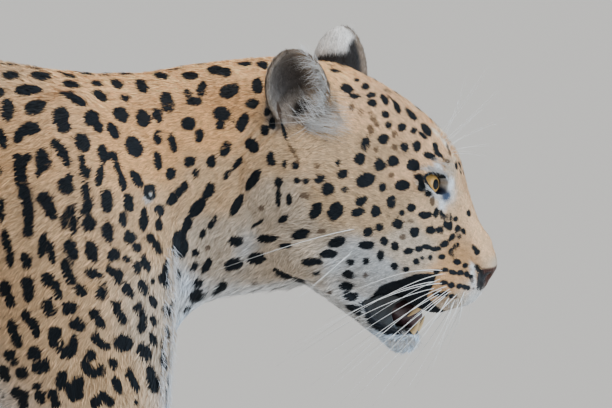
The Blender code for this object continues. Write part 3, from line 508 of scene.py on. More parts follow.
# Seen on the neck, shoulder and chest
BODY_SEEN = (
    (8, 59, 18, 3), (35, 67, 12, 3), (60, 69, 8, 3, -30), (103, 72, 12, 4), (125, 75, 13, 5),
    (160, 76, 16, 8, -25), (174, 68, 14, 3), (189, 76, 16, 8), (200, 63, 8, 2), (214, 70, 15, 9),
    (225, 72, 10, 9, -35), (244, 64, 13, 6), (262, 65, 12, 8, -30), (10, 76, 17, 15),
    (40, 76, 20, 11, -5), (68, 76, 14, 6, -20), (84, 74, 14, 6, -20), (96, 84, 13, 5, -20),
    (99, 96, 17, 9, -35), (116, 84, 13, 8, -25), (124, 98, 8, 7, -20), (141, 86, 17, 10, -48),
    (166, 102, 12, 21, -70), (157, 116, 8, 15, -65), (187, 94, 7, 10, -60), (194, 102, 15, 8),
    (201, 89, 9, 15, 75), (229, 91, 20, 13, 25), (257, 86, 11, 14), (252, 104, 12, 9),
    (267, 112, 8, 6, 50), (120, 115, 17, 13, -45), (142, 119, 13, 18, -65), (188, 124, 14, 13),
    (199, 136, 8, 14), (221, 114, 16, 14), (219, 125, 8, 9), (242, 123, 10, 20, 65), (264, 130, 8, 9, 30),
    (272, 123, 5, 11), (28, 90, 26, 11, 5), (70, 85, 19, 7, -10), (0, 92, 7, 9), (66, 94, 18, 10, -30),
    (78, 101, 16, 9, -30), (7, 111, 13, 22), (35, 107, 22, 13, 20), (60, 117, 17, 21),
    (63, 127, 13, 13, -60), (91, 118, 15, 16), (97, 127, 9, 13, -65), (29, 129, 20, 13),
    (18, 136, 9, 16, 75), (1, 139, 9, 22, -75), (112, 131, 9, 18, -60), (133, 147, 15, 22, -60),
    (157, 138, 8, 14), (172, 143, 7, 20, -75), (157, 161, 8, 18, -80), (189, 162, 10, 12),
    (195, 174, 6, 9, -80), (211, 162, 8, 13, 75), (225, 149, 9, 15, 65), (252, 146, 11, 11),
    (270, 158, 7, 12, 80), (237, 164, 5, 14, 55), (226, 176, 5, 9, 70), (170, 174, 9, 12, 75),
    (184, 186, 6, 9), (253, 180, 9, 24, 58), (236, 206, 8, 23, 60), (208, 191, 9, 16, 65),
    (197, 208, 11, 22, 52), (186, 225, 8, 18, 70), (178, 238, 11, 13, 60), (172, 199, 9, 14, 60),
    (178, 192, 6, 9), (212, 223, 5, 13, 60), (202, 234, 6, 9, 75), (257, 224, 16, 3, 35),
    (55, 145, 10, 9, -45), (62, 153, 10, 20, -60), (66, 162, 7, 12, -75), (82, 143, 14, 20, -60),
    (41, 155, 11, 12), (43, 164, 15, 13), (38, 172, 6, 10), (17, 158, 9, 10), (27, 158, 8, 8),
    (20, 166, 14, 16), (21, 180, 12, 24, -80), (25, 197, 12, 26, -75), (28, 215, 11, 26, -85),
    (28, 231, 11, 15), (102, 154, 10, 18, -80), (81, 161, 6, 12, -70), (84, 172, 9, 16, -65),
    (99, 177, 8, 22, 80), (113, 157, 7, 11, -60), (117, 168, 6, 16, -75), (122, 182, 7, 17, -75),
    (136, 179, 9, 20, -60), (149, 193, 12, 16), (85, 193, 8, 20, -80), (87, 205, 9, 16), (82, 213, 6, 8),
    (65, 187, 15, 18, -60), (68, 178, 7, 9), (45, 201, 14, 18, -50), (50, 212, 11, 18, -70),
    (70, 211, 8, 12, 60), (63, 222, 8, 16, 80), (73, 226, 7, 18), (1, 211, 7, 26), (88, 224, 13, 17),
    (0, 172, 3, 12), (106, 202, 12, 24), (128, 203, 10, 18, -80), (159, 211, 8, 12, -75),
    (143, 220, 8, 22), (122, 220, 8, 15, -80), (158, 226, 6, 11, -80), (107, 232, 11, 20, -80),
    (129, 238, 11, 12), (136, 248, 10, 8, -40), (150, 239, 8, 11, -50), (157, 248, 8, 15, -60),
    (235, 242, 14, 9), (6, 242, 9, 24, -80), (10, 259, 8, 20), (42, 246, 9, 24, 80),
    (51, 254, 7, 23, -80), (26, 262, 10, 18, -75), (71, 251, 12, 22, -65), (91, 252, 12, 22, -75),
    (113, 256, 13, 12), (126, 260, 6, 8, -60), (145, 264, 7, 19, -65), (136, 268, 7, 11, -60),
    (175, 250, 9, 16, -80), (183, 250, 7, 18, 80), (65, 268, 9, 16, -75), (70, 279, 10, 16, -60),
    (79, 290, 18, 10, -35), (47, 280, 12, 14), (54, 285, 10, 10), (58, 294, 8, 14, -70),
    (27, 284, 14, 13), (28, 294, 11, 17), (5, 289, 12, 15), (10, 301, 10, 14, -70), (93, 275, 18, 8, -15),
    (102, 284, 6, 12, -70), (101, 295, 12, 12), (110, 271, 8, 10, -60), (119, 275, 8, 9, 40),
    (116, 280, 7, 10), (127, 290, 9, 17, -60), (143, 288, 8, 15, -70), (152, 283, 3, 6),
    (166, 268, 6, 14), (163, 279, 10, 10), (167, 285, 8, 8), (178, 275, 3, 10), (153, 302, 7, 13, -65),
    (46, 307, 11, 13), (51, 314, 10, 10), (69, 309, 16, 12, 15), (94, 315, 10, 12, -50),
    (100, 323, 9, 14, -60), (116, 308, 9, 14, -70), (121, 318, 9, 15, -65), (137, 308, 9, 9),
    (142, 316, 6, 12, -65), (141, 327, 8, 14, 80), (166, 312, 8, 12, -70), (171, 308, 3, 12, 80),
    (154, 322, 5, 13, -60), (167, 334, 4, 11, -80), (26, 316, 9, 11), (32, 324, 10, 12, -55),
    (36, 333, 8, 12), (12, 329, 10, 16, -80), (17, 341, 10, 16, -70), (77, 326, 16, 11, -25),
    (54, 334, 13, 13), (58, 331, 8, 6, 20), (53, 343, 8, 12, -60), (73, 344, 9, 14, 80),
    (67, 354, 16, 11), (60, 351, 7, 9, -50), (96, 339, 11, 9, -40), (104, 346, 13, 8, -35),
    (123, 344, 18, 17, -30), (144, 353, 12, 18, -60), (153, 340, 6, 16, -65), (163, 345, 4, 8, -70),
    (163, 363, 6, 15, -70), (9, 356, 11, 12, -50), (14, 362, 8, 8), (34, 354, 14, 14), (36, 368, 9, 10),
    (42, 369, 15, 11), (46, 364, 7, 10), (4, 374, 11, 17, -60), (22, 374, 12, 13, -60),
    (61, 380, 12, 18, 80), (69, 388, 10, 8), (79, 384, 11, 14, 80), (75, 395, 16, 14),
    (91, 356, 11, 10, -30), (86, 367, 9, 12, -60), (93, 374, 12, 9, -20), (101, 372, 9, 13, 70),
    (113, 364, 8, 12, -50), (117, 386, 8, 19, -65), (129, 375, 9, 11, -50), (134, 385, 8, 16, -65),
    (150, 373, 8, 13, -60), (153, 385, 12, 17, -70), (167, 385, 5, 14), (16, 393, 11, 11),
    (23, 396, 11, 10), (23, 404, 10, 10), (36, 388, 8, 9), (40, 398, 9, 13, -70), (53, 396, 9, 13, -60),
    (56, 405, 10, 9), (3, 400, 10, 18, -60), (96, 403, 11, 11, 60), (104, 398, 13, 9),
    (110, 403, 9, 11, -60), (136, 403, 5, 5), (195, 253, 7, 7, 40), (206, 266, 16, 7, 55),
    (193, 267, 10, 6, 60), (197, 283, 9, 9, 40), (195, 296, 15, 10, 25), (219, 288, 18, 7, 40),
    (226, 298, 20, 9, 15), (233, 265, 18, 12, 20), (177, 275, 3, 10), (208, 248, 4, 5, 0, 1),
    (184, 309, 9, 6, 30), (253, 283, 6, 4, 0, 1),
)
# Warm centres between the blobs of a rosette, seen in the photo: x, y, width
WARM_SEEN = (
    (70, 384, 13), (93, 365, 12), (66, 342, 12), (56, 283, 10), (47, 396, 12), (92, 284, 12), (110, 264, 8),
)


# The old scar on the neck, a pale spot inside a mark: x, y, radius
SCAR_SEEN = (150, 195, 2.7)


class Marks:
    """All marks of the coat, and the few painted shadows laid as marks, each a flat egg on the skin."""

    def __init__(self, skin_tree):
        self.tree = skin_tree
        self.rows = []
        self.warm = []

    def add(self, centre, normal, axis, half_long, half_wide, brown=0.0, deep=None):
        normal = np.array(normal, float)
        axis = np.array(axis, float) - normal * float(np.dot(axis, normal))
        axis /= max(np.linalg.norm(axis), 1e-9)
        deep = 2.0 * max(half_long, half_wide) + 5 * MM if deep is None else deep
        self.rows.append((np.array(centre, float), axis, np.cross(normal, axis), normal,
                          half_long, half_wide, deep, brown))

    def seen_from_photo(self, x, y, wide, tall, tilt=None, brown=0):
        """Lays one mark of the photo on the skin, stretched where the skin slants away."""
        for nudge in range(0, 10, 2):
            place, normal, _, distance = self.tree.ray_cast(EYE_POINT, photo_ray(x, y + nudge))
            if place is not None:
                break
        if place is None:
            return
        facing = normal.dot(BACKWARD)
        if facing < LEAST_FACING:
            normal = (normal + BACKWARD * (LEAST_FACING - facing) * 1.6).normalized()
            facing = normal.dot(BACKWARD)
        scale = distance / CAMERA_DISTANCE * MM / 2
        if tilt is None or tilt == 0:
            long_half, short_half, tilt = wide, tall, 0
        else:
            long_half, short_half = max(wide, tall), min(wide, tall)
        turn = math.radians(tilt)
        along = RIGHTWARD * math.cos(turn) + UPWARD * math.sin(turn)
        across = UPWARD * math.cos(turn) - RIGHTWARD * math.sin(turn)
        spans = []
        for direction, half in ((along, long_half), (across, short_half)):
            laid = direction - BACKWARD * (direction.dot(normal) / facing)
            spans.append(np.array(laid) * half * scale)
        axes, sizes, _ = np.linalg.svd(np.array(spans).T, full_matrices=False)
        self.add(place, normal, axes[:, 0], sizes[0], sizes[1], 0.75 * brown)

    def mirror(self, row, to_frame, from_frame, draw):
        """The same mark on the other side, a little moved, turned and resized."""
        centre, axis, _, _, half_long, half_wide, _, brown = row
        flip = np.array((1, -1, 1))
        local = moved(centre[None], to_frame)[0] * flip
        scale = np.linalg.norm(matrix_rows(to_frame)[:3, 0])
        local[:3] += draw.normal(size=3) * 0.0018 * scale
        turned = (matrix_rows(to_frame)[:3, :3] @ axis) * flip
        place, normal, _, _ = self.tree.find_nearest(Vector(moved(local[None], from_frame)[0]))
        axis = matrix_rows(from_frame)[:3, :3] @ turned
        axis = axis + np.cross(np.array(normal), axis) * draw.normal() * 0.16
        half_long *= draw.uniform(0.86, 1.12)
        half_wide *= draw.uniform(0.88, 1.14)
        self.add(place, normal, axis, half_long, half_wide, brown)

    def arrays(self):
        columns = list(zip(*self.rows))
        return [np.array(c, float) for c in columns]

    def at(self, points):
        """Distance in millimetres from the nearest mark's edge, below zero inside, and its brownness."""
        centres, along, across, normals, half_long, half_wide, deep, brown = self.arrays()
        order = np.argsort(points[:, 0])
        sorted_points = points[order]
        line = sorted_points[:, 0]
        nearest = np.full(len(points), 9.0)
        tone = np.zeros(len(points))
        for k in range(len(centres)):
            reach = max(half_long[k], half_wide[k], min(deep[k], 0.03)) * 1.25 + 2 * MM
            low, high = np.searchsorted(line, (centres[k, 0] - reach, centres[k, 0] + reach))
            part = sorted_points[low:high] - centres[k]
            near = np.flatnonzero((abs(part[:, 1]) < reach) & (abs(part[:, 2]) < reach))
            if not len(near):
                continue
            part = part[near]
            ratio = np.sqrt((part @ along[k] / half_long[k]) ** 2 + (part @ across[k] / half_wide[k]) ** 2
                            + (part @ normals[k] / deep[k]) ** 2)
            edge = (ratio - 1) * math.sqrt(half_long[k] * half_wide[k]) * 1000 - MARK_SPREAD
            slots = low + near
            closer = edge < nearest[slots]
            nearest[slots[closer]] = edge[closer]
            tone[slots[closer]] = brown[k]
        distance, brownness = np.empty(len(points)), np.empty(len(points))
        distance[order], brownness[order] = nearest, tone
        return distance, brownness

    def warmth(self, points):
        """How far inside a rosette each point is, 0 to 1."""
        warm = np.zeros(len(points))
        order = np.argsort(points[:, 0])
        sorted_points = points[order]
        for centre, radius in self.warm:
            low, high = np.searchsorted(sorted_points[:, 0], (centre[0] - radius, centre[0] + radius))
            away = np.linalg.norm(sorted_points[low:high] - centre, axis=1) / radius
            slots = order[low:high]
            warm[slots] = np.maximum(warm[slots], 1 - ramp(away, 0.55, 1.0))
        return warm


def mark_kind(point, normal):
    """Kind, spacing and size in millimetres of the marks at a place that the photo doesn't show."""
    if any(np.linalg.norm(moved(point[None], back)[0]) < 1.35 for back in TO_EARS.values()):
        return "none", 0, 0
    x, y, z = (point - SHIFT_ROW) / MM
    hx, _, hz = moved(point[None], TO_HEAD)[0]
    if x < -845:
        return "tail", 30, 9
    if x < -790 and z < 560 and z > 330:
        return "tail", 30, 9
    if hx > -85 and hz > -125 and x > 200:
        if hx > 92:
            return "none", 0, 0
        return "spot", 17, 3.6
    if x > 165 and z > 400:
        return "spot", 27, 6.0
    if z < 75:
        return "spot", 14, 3.0
    if z < 210:
        return "spot", 21, 5.0
    if z < 345:
        return ("spot", 26, 6.5) if abs(normal[1]) > 0.25 or y * normal[1] > 0 else ("spot", 36, 6.0)
    if normal[2] < -0.55:
        return "spot", 40, 8.5
    if y * normal[1] < 0 and z < 450:
        return "spot", 40, 7.5
    if z > 650 and abs(y) < 34:
        return "spine", 27, 6.0
    if z < 450:
        return "spot", 32, 8.0
    return "rosette", 46, 15.5


def grow_marks(marks, mesh, lie):
    """The species' own pattern where the photo shows nothing, evenly but not in rows."""
    draw = np.random.default_rng(23)
    places, normals = vertex_places(mesh), vertex_normals(mesh)
    order = draw.permutation(len(places))[:MARK_TRIES]
    done = np.array([r[0] for r in marks.rows])
    sizes = np.array([max(r[4], r[5]) for r in marks.rows])
    for index in order:
        point, normal = places[index], normals[index]
        kind, spacing, size = mark_kind(point, normal)
        if kind == "none":
            continue
        if kind != "tail":
            folded = np.array((point[0], -abs(point[1] - SHIFT_ROW[1]), point[2])) - SHIFT_ROW
            facing = -(normal[1] if point[1] < 0 else -normal[1])
            in_frame = SEEN_REAR < folded[0] < SEEN_FRONT and folded[2] > SEEN_BOTTOM
            head_side = moved(point[None], TO_HEAD)[0]
            if in_frame and facing > (0.12 if head_side[0] < -60 else 0.02):
                continue
        gap = np.linalg.norm(done - point, axis=1) - sizes
        if gap.min() < spacing * MM - size * MM * 0.9:
            continue
        flow = lie[index]
        reach = size * MM
        if kind == "rosette":
            axis = flow
            across = np.cross(normal, flow)
            blobs = draw.integers(3, 6)
            start = draw.uniform(0, 2 * math.pi)
            radius = reach * draw.uniform(0.82, 1.08)
            for k in range(blobs):
                angle = start + 2 * math.pi * (k + draw.uniform(-0.18, 0.18)) / blobs
                offset = (axis * math.cos(angle) * 1.12 + across * math.sin(angle) * 0.92) * radius
                place, skin_normal, _, _ = marks.tree.find_nearest(Vector(point + offset))
                tangent = -axis * math.sin(angle) + across * math.cos(angle)
                half_long, half_wide = draw.uniform(6.0, 9.6) * MM, draw.uniform(4.2, 5.8) * MM
                marks.add(place, skin_normal, tangent, half_long, half_wide)
            marks.warm.append((point, radius * 1.1))
            new_size = radius * 1.15
        elif kind == "spine":
            marks.add(point, normal, flow, draw.uniform(9, 13) * MM, draw.uniform(4.2, 5.6) * MM)
            new_size = 0.008
        elif kind == "tail":
            half_long, half_wide = reach * draw.uniform(0.9, 1.3), reach * draw.uniform(0.7, 0.9)
            marks.add(point, normal, np.cross(normal, flow), half_long, half_wide)
            new_size = reach
        else:
            turn = flow + np.cross(normal, flow) * draw.normal() * 0.35
            marks.add(point, normal, turn, reach * draw.uniform(1.0, 1.5), reach * draw.uniform(0.75, 1.0))
            new_size = reach
        done = np.vstack((done, point))
        sizes = np.append(sizes, new_size)


def ring_the_tail(marks):
    """Rings round the last third of the tail, open below, and a dark tip."""
    for k in range(6, len(TAIL)):
        here, ahead = np.array(TAIL[k - 1][:3]), np.array(TAIL[k][:3])
        lie = unit(ahead - here)
        over = np.array((-lie[2], 0, lie[0]))
        steps = max(1, round(np.linalg.norm(ahead - here) / 36))
        at_tip = k == len(TAIL) - 1
        offset = over * (0 if at_tip else -12)
        half_long = (24 if at_tip else 7.5) * MM
        for step in range(steps):
            centre = here + (ahead - here) * (step + 0.5) / steps
            marks.add((centre + offset) * MM + SHIFT_ROW, over, lie, half_long, 33 * MM, deep=31 * MM)


# The skin

FLESH = sorted(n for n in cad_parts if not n.startswith(("eye_", "canine_", "tongue")))
HEAD_PARTS = ("head", "jaw", "ear_right", "ear_left")
HEAD_FLESH = (*HEAD_PARTS, "neck")
BODY_FLESH = tuple(n for n in FLESH if n not in HEAD_PARTS)


def fused(names, name, voxel):
    """The solids of these nodes grown over their thin gaps and remeshed as one."""
    copies = []
    for node in names:
        copy = merged_copy(node, "part_" + node)
        set_places(copy.data, vertex_places(copy.data) + vertex_normals(copy.data) * SEAL)
        copies.append(copy)
    choose(*copies)
    bpy.ops.object.join()
    whole = bpy.context.view_layer.objects.active
    whole.name = name
    whole.data.name = name
    whole.data.remesh_voxel_size = voxel
    bpy.ops.object.voxel_remesh()
    return whole


def cut_off(obj, x, keep_front):
    """Cuts a mesh at a plane across the neck and closes the cut."""
    choose(obj)
    bpy.ops.object.mode_set(mode="EDIT")
    bpy.ops.mesh.select_all(action="SELECT")
    bpy.ops.mesh.bisect(
        plane_co=(x, 0, 0), plane_no=(1, 0, 0), use_fill=True,
        clear_inner=keep_front, clear_outer=not keep_front,
    )
    bpy.ops.object.mode_set(mode="OBJECT")


def head_evenness(points):
    """How much the head's skin may be smoothed: little at the lids, lips, nostrils and ears."""
    head = moved(points, TO_HEAD)
    weight = np.full(len(points), 0.95)
    for side in (-1, 1):
        lid, local = lid_distance(points, side)
        close = (abs(lid) < 9) & (local[:, 0] > -2)
        weight[close] = np.minimum(weight[close], 0.25 + 0.08 * abs(lid[close]))
    gap = outline_distance(head[:, (0, 2)], MOUTH_GAP)
    weight = np.minimum(weight, 0.30 + 0.08 * np.clip(gap, 0, 9))
    nostril = np.linalg.norm(head - np.array((184, 0, 2)) * np.array((1, 0, 1)), axis=1)
    weight = np.minimum(weight, 0.25 + 0.7 * ramp(nostril, 14, 26))
    for back in TO_EARS.values():
        reach = np.linalg.norm(moved(points, back), axis=1)
        weight = np.minimum(weight, 0.42 + 0.55 * ramp(reach, 1.1, 1.5))
    return weight


def build_skin():
    head = fused(HEAD_FLESH, "skin_head", HEAD_VOXEL)
    even_out(head, head_evenness(vertex_places(head.data)), 26)
    body = fused(BODY_FLESH, "skin_body", BODY_VOXEL)
    places = vertex_places(body.data) - SHIFT_ROW
    weight = np.where(places[:, 2] < 0.10, 0.30 + 6.5 * np.clip(places[:, 2], 0, 0.10), 0.95)
    even_out(body, weight, 55)
    join = NECK_JOIN + SHIFT.x
    cut_off(head, join - 0.0012, True)
    cut_off(body, join + 0.0012, False)
    union = body.modifiers.new("head", "BOOLEAN")
    union.operation = "UNION"
    union.solver = "MANIFOLD"
    union.object = head
    apply_all(body)
    bpy.data.objects.remove(head)
    body.name = body.data.name = "skin"
    places = vertex_places(body.data)
    ring = 1 - ramp(abs(places[:, 0] - join), 0.006, 0.022)
    even_out(body, ring, 14, 0.5, 0.0)
    return body


def skin_facts(points):
    """Depth of the coat over the skin in metres, and how much hair grows there, 0 to 1."""
    _, length, _ = coat_at(points)
    depth = length * DEPTH_SHARE * MM
    hair = np.ones(len(points))
    head = moved(points, TO_HEAD)
    on_head = head[:, 0] > -140
    for side in (-1, 1):
        lid, local = lid_distance(points, side)
        near = (local[:, 0] > 2) & (np.linalg.norm(local, axis=1) < 40)
        depth = np.where(near, np.minimum(depth, (0.35 + 0.10 * np.clip(lid, 0, 12)) * MM), depth)
        hair = np.where(near, np.minimum(hair, ramp(lid, 0.8, 2.0)), hair)
    gap = outline_distance(head[:, (0, 2)], MOUTH_GAP)
    in_mouth = on_head & (gap < 16) & (abs(head[:, 1]) < 75)
    depth = np.where(in_mouth, np.minimum(depth, (0.3 + 0.08 * np.clip(gap, 0, 16)) * MM), depth)
    hair = np.where(in_mouth, np.minimum(hair, ramp(gap, 1.5, 3.2)), hair)
    leather = leather_zone(head)
    depth = np.where(on_head, depth * (1 - 0.8 * leather), depth)
    hair = np.where(on_head, hair * (1 - leather), hair)
    for back in TO_EARS.values():
        reach = np.linalg.norm(moved(points, back), axis=1)
        here = 1 - ramp(reach, 1.15, 1.6)
        depth = depth * (1 - here) + here * 0.6 * MM
    low = points[:, 2] - SHIFT.z
    sole = 1 - ramp(low, 0.007, 0.013)
    depth = depth * (1 - sole) + sole * 0.4 * MM
    return depth, hair * (1 - sole)


def leather_zone(head):
    """1 on the bare leather of the nose, in the head's frame."""
    x, y, z = head[:, 0], abs(head[:, 1]), head[:, 2]
    front = ramp(x + NOSE_SLOPE * z, NOSE_REAR, NOSE_REAR + 1.5)
    upper = 1 - ramp(z + 0.10 * y - 0.5 * np.maximum(x - 176, 0), 10.0, 11.5)
    lower = ramp(z - 0.45 * y, -15.0, -13.0) + ramp(z, -13.5, -12.0) * ramp(y, 7, 9)
    lower = np.minimum(lower, 1)
    side = (1 - ramp(y, 20.0, 21.5)) * ramp(x, 160, 164)
    return front * upper * lower * side


# The folds of skin beside the ears: x and z of the middle, and the lean
EAR_FOLDS = ((-66, 22, 0.35), (-76, 14, 0.30), (-86, 6, 0.25))


def sculpt_head(mesh):
    """The groove under the nose, the nostrils, the folds by the ears and the rims of the lids."""
    places, normals = vertex_places(mesh), vertex_normals(mesh)
    head = moved(places, TO_HEAD)
    push = np.zeros(len(places))
    x, y, z = head[:, 0], head[:, 1], head[:, 2]
    groove = np.exp(-((y / 1.5) ** 2)) * ramp(x, 172, 180) * (1 - ramp(z, -8, 2)) * ramp(z, -44, -30)
    push -= 1.6 * groove
    push -= 1.4 * np.exp(-((slit_distance(head) / 1.8) ** 2))
    ring = np.sqrt(((x - 181) / 9.5) ** 2 + ((abs(y) - 13.5) / 7.5) ** 2 + ((z - 3.5) / 9.5) ** 2)
    push += 0.9 * np.exp(-(((ring - 1.0) / 0.18) ** 2)) * ramp(x, 168, 176)
    crease = (z - 8) + 0.55 * (x - 168)
    wing = ramp(abs(y), 11, 14) * ramp(x, 158, 164) * (1 - ramp(x, 172, 176))
    push -= 1.1 * np.exp(-((crease / 1.6) ** 2)) * wing
    for side in (-1, 1):
        lid, local = lid_distance(places, side)
        near = (local[:, 0] > 6) & (lid > -1.5)
        push += np.where(near, 0.8 * np.exp(-(((lid - 1.2) / 1.1) ** 2)), 0)
        push -= np.where(near, 0.7 * np.exp(-(((lid - 4.6) / 1.3) ** 2)), 0)
    for fx, fz, tilt in EAR_FOLDS:
        line = (x - fx) - tilt * (z - fz)
        window = np.exp(-(((z - fz - 4) / 26) ** 2)) * ramp(abs(y), 40, 60)
        push -= 1.6 * np.exp(-((line / 2.2) ** 2)) * window
        push += 0.9 * np.exp(-(((line - 4.6) / 2.6) ** 2)) * window
    for row in range(4):
        line = z + 21 - 0.10 * (x - 140) + 7.6 * (row - 1.5)
        pad = ramp(x, 118, 130) * (1 - ramp(x, 168, 178)) * ramp(abs(y), 20, 30)
        push += 0.35 * np.exp(-((line / 2.2) ** 2)) * pad * np.where(z > -52, 1, 0)
    set_places(mesh, places + normals * (push * MM)[:, None])


def finish_skin(skin):
    mesh = skin.data
    ends = edge_ends(mesh)
    depth, _ = skin_facts(vertex_places(mesh))
    depth = spread(depth, ends, 4)[:, 0]
    normals = unit(spread(vertex_normals(mesh), ends, 2))
    set_places(mesh, vertex_places(mesh) - normals * (depth + SEAL)[:, None])
    sculpt_head(mesh)
    thin = skin.modifiers.new("thin", "DECIMATE")
    thin.ratio = SKIN_KEEP
    thin.use_collapse_triangulate = True
    apply_all(skin)
    bpy.ops.object.shade_smooth()
    return skin


def node_finder():
    """A tree of the solids' vertices, and the node of each."""
    owners, places = [], []
    for name in FLESH:
        found = np.unique(vertex_places(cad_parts[name].data).round(5), axis=0)
        places.append(found)
        owners.extend([name] * len(found))
    places = np.concatenate(places)
    tree = KDTree(len(places))
    for k, place in enumerate(places):
        tree.insert(place, k)
    tree.balance()
    return tree, owners


def triangle_rows(mesh):
    corners = np.empty(len(mesh.loop_triangles) * 3, np.int32)
    mesh.loop_triangles.foreach_get("vertices", corners)
    return corners.reshape(-1, 3)


def unwrap(mesh, triangles, owners):
    """Lays the skin out as charts, one for each part and way of facing, packed side by side."""
    places = vertex_places(mesh)
    corners = places[triangles]
    facing = unit(np.cross(corners[:, 1] - corners[:, 0], corners[:, 2] - corners[:, 0]))
    axis = np.abs(facing).argmax(1)
    side = facing[np.arange(len(facing)), axis] > 0
    names = sorted(set(owners))
    index = {name: k for k, name in enumerate(names)}
    chart = np.array([index[o] for o in owners]) * 6 + axis * 2 + side
    flat = np.empty((len(triangles), 3, 2))
    boxes = []
    for key in np.unique(chart):
        own = chart == key
        keep = [k for k in range(3) if k != (key % 6) // 2]
        laid = corners[own][:, :, keep]
        scale = 2.4 if names[key // 6] in HEAD_PARTS else 1.0
        laid = (laid - laid.reshape(-1, 2).min(0)) * scale
        flat[own] = laid
        boxes.append((laid.reshape(-1, 2).max(0), own))
    boxes.sort(key=lambda b: -b[0][1])
    margin = 0.012
    width = math.sqrt(sum((b[0][0] + margin) * (b[0][1] + margin) for b in boxes)) * 1.12
    x = y = shelf = 0.0
    for size, own in boxes:
        if x + size[0] + margin > width:
            x, y, shelf = 0.0, y + shelf, 0.0
        flat[own] += np.array((x, y)) + margin / 2
        x += size[0] + margin
        shelf = max(shelf, size[1] + margin)
    flat /= max(width, y + shelf)
    layer = mesh.uv_layers.new(name="OFBake")
    layer.data.foreach_set("uv", flat.astype(np.float32).ravel())
    return flat


# The coat's colours

def ground_colour(points, normals, colour):
    """The coat's colour between its marks, with the ears', brows' and lips' own tones, and painted shade
    inside the ears.
    """
    colour = colour * (1 + 0.05 * waves(points, 0.05, 3)[:, None] + 0.03 * waves(points, 0.013, 4)[:, None])
    head = moved(points, TO_HEAD)
    for name, back in TO_EARS.items():
        egg = moved(points, back)
        reach = np.linalg.norm(egg, axis=1)
        on_ear = ((1 - ramp(reach, 1.12, 1.30)) * ramp(egg[:, 2], -0.80, -0.55))[:, None]
        inner = ((moved(points + normals * 0.004, back) ** 2).sum(1) < (egg ** 2).sum(1))[:, None]
        patch = (ramp(egg[:, 2], 0.30, 0.44) * (1 - ramp(abs(egg[:, 1]), 0.74, 0.86)))[:, None]
        behind = np.array(WHITE) * patch + np.array((0.022, 0.020, 0.020)) * (1 - patch)
        rim = ramp(egg[:, 0], -0.30, -0.05)[:, None]
        edge_tone = np.array((0.20, 0.155, 0.12)) * (1 + 0.25 * waves(points, 0.008, 31)[:, None])
        behind = behind * (1 - rim) + edge_tone * rim
        forward = ramp(egg[:, 1] * (1 if name == "ear_right" else -1), 0.15, 0.60)[:, None]
        # Painted shade inside the ear's cup: darker deeper in, and almost black in the canal
        depth = ramp(egg[:, 0], -0.85, -0.15)[:, None]
        shaded_cup = np.array((0.085, 0.072, 0.066)) * (1 - depth) + np.array((0.30, 0.25, 0.21)) * depth
        canal_shade = 1 - ramp(np.hypot((egg[:, 1] - 0.05) / 0.42, (egg[:, 2] + 0.52) / 0.30), 0.7, 1.2)[:, None]
        shaded_cup = shaded_cup * (1 - canal_shade) + np.array((0.012, 0.009, 0.008)) * canal_shade
        shaded_cup = shaded_cup * (1 - forward * depth) + np.array(SAND) * 0.80 * forward * depth
        tone = np.where(inner, shaded_cup, behind)
        colour = colour * (1 - on_ear) + tone * on_ear
    for side in (-1, 1):
        lid, local = lid_distance(points, side)
        across = -side * local[:, 1]
        near = (local[:, 0] > 2) & (lid < 16)
        above = np.where(near, (1 - ramp(lid, 3, 7)) * ramp(local[:, 2] + 0.3 * across, 5, 9), 0)[:, None]
        colour = colour * (1 - above) + np.array((0.42, 0.42, 0.43)) * above
        under = ramp(-(local[:, 2] + 0.3 * across), 4, 8)
        below = np.where(near, (1 - ramp(lid, 3, 6)) * under, 0)[:, None]
        colour = colour * (1 - below) + np.array(WHITE) * below
    behind = head[:, 0] + NOSE_SLOPE * head[:, 2] - NOSE_REAR
    rim = ramp(behind, -6.0, -3.5) * (1 - ramp(behind, 0, 1)) * ramp(abs(head[:, 1]), 9, 12)
    rim = (rim * (1 - ramp(abs(head[:, 2] + 2), 8, 12)) * (head[:, 0] > 150))[:, None]
    colour = colour * (1 - rim) + np.array(WHITE) * rim
    return np.clip(colour, 0, 1)


def dark_zones(points):
    """Distance in millimetres from the black of the lips and lids and the painted shade under the whisker
    pads, below zero inside.
    """
    head = moved(points, TO_HEAD)
    on_head = head[:, 0] > 60
    lips = outline_distance(head[:, (0, 2)], BLACK_LIPS_AND_PAD_SHADE)
    lips = np.where(on_head & (abs(head[:, 1]) > 3), lips, 9.0)
    zone = np.minimum(lips, 9.0)
    for side in (-1, 1):
        lid, local = lid_distance(points, side)
        across = -side * local[:, 1]
        away = np.linalg.norm(local, axis=1)
        near = (local[:, 0] > 2) & (away < 36)
        width = np.where(across > 5, -0.6, 1.0 + ramp(-across, 6, 12))
        rim = np.minimum(lid - width, away - EYE_RADIUS - 2.4)
        zone = np.where(near, np.minimum(zone, rim), zone)
    return zone


# Materials

def new_material(name, roughness, **values):
    material = bpy.data.materials.new(name)
    material.use_nodes = True
    shader = material.node_tree.nodes["Principled BSDF"]
    shader.inputs["Roughness"].default_value = roughness
    for key, value in values.items():
        shader.inputs[key.replace("_", " ")].default_value = value
    return material, material.node_tree.nodes, material.node_tree.links, shader


def attribute_node(nodes, name):
    node = nodes.new("ShaderNodeAttribute")
    node.attribute_name = name
    return node


def math_node(nodes, links, operation, first, second=None, third=None):
    node = nodes.new("ShaderNodeMath")
    node.operation = operation
    for socket, value in zip(node.inputs, (first, second, third)):
        if value is None:
            continue
        if isinstance(value, (int, float)):
            socket.default_value = value
        else:
            links.new(value, socket)
    return node.outputs[0]


def mix_node(nodes, links, factor, first, second, blend="MIX"):
    node = nodes.new("ShaderNodeMix")
    node.data_type = "RGBA"
    node.blend_type = blend
    for socket, value in ((node.inputs[0], factor), (node.inputs[6], first), (node.inputs[7], second)):
        if isinstance(value, (int, float)):
            socket.default_value = value
        elif isinstance(value, tuple):
            socket.default_value = (*value, 1.0)
        else:
            links.new(value, socket)
    return node.outputs[2]


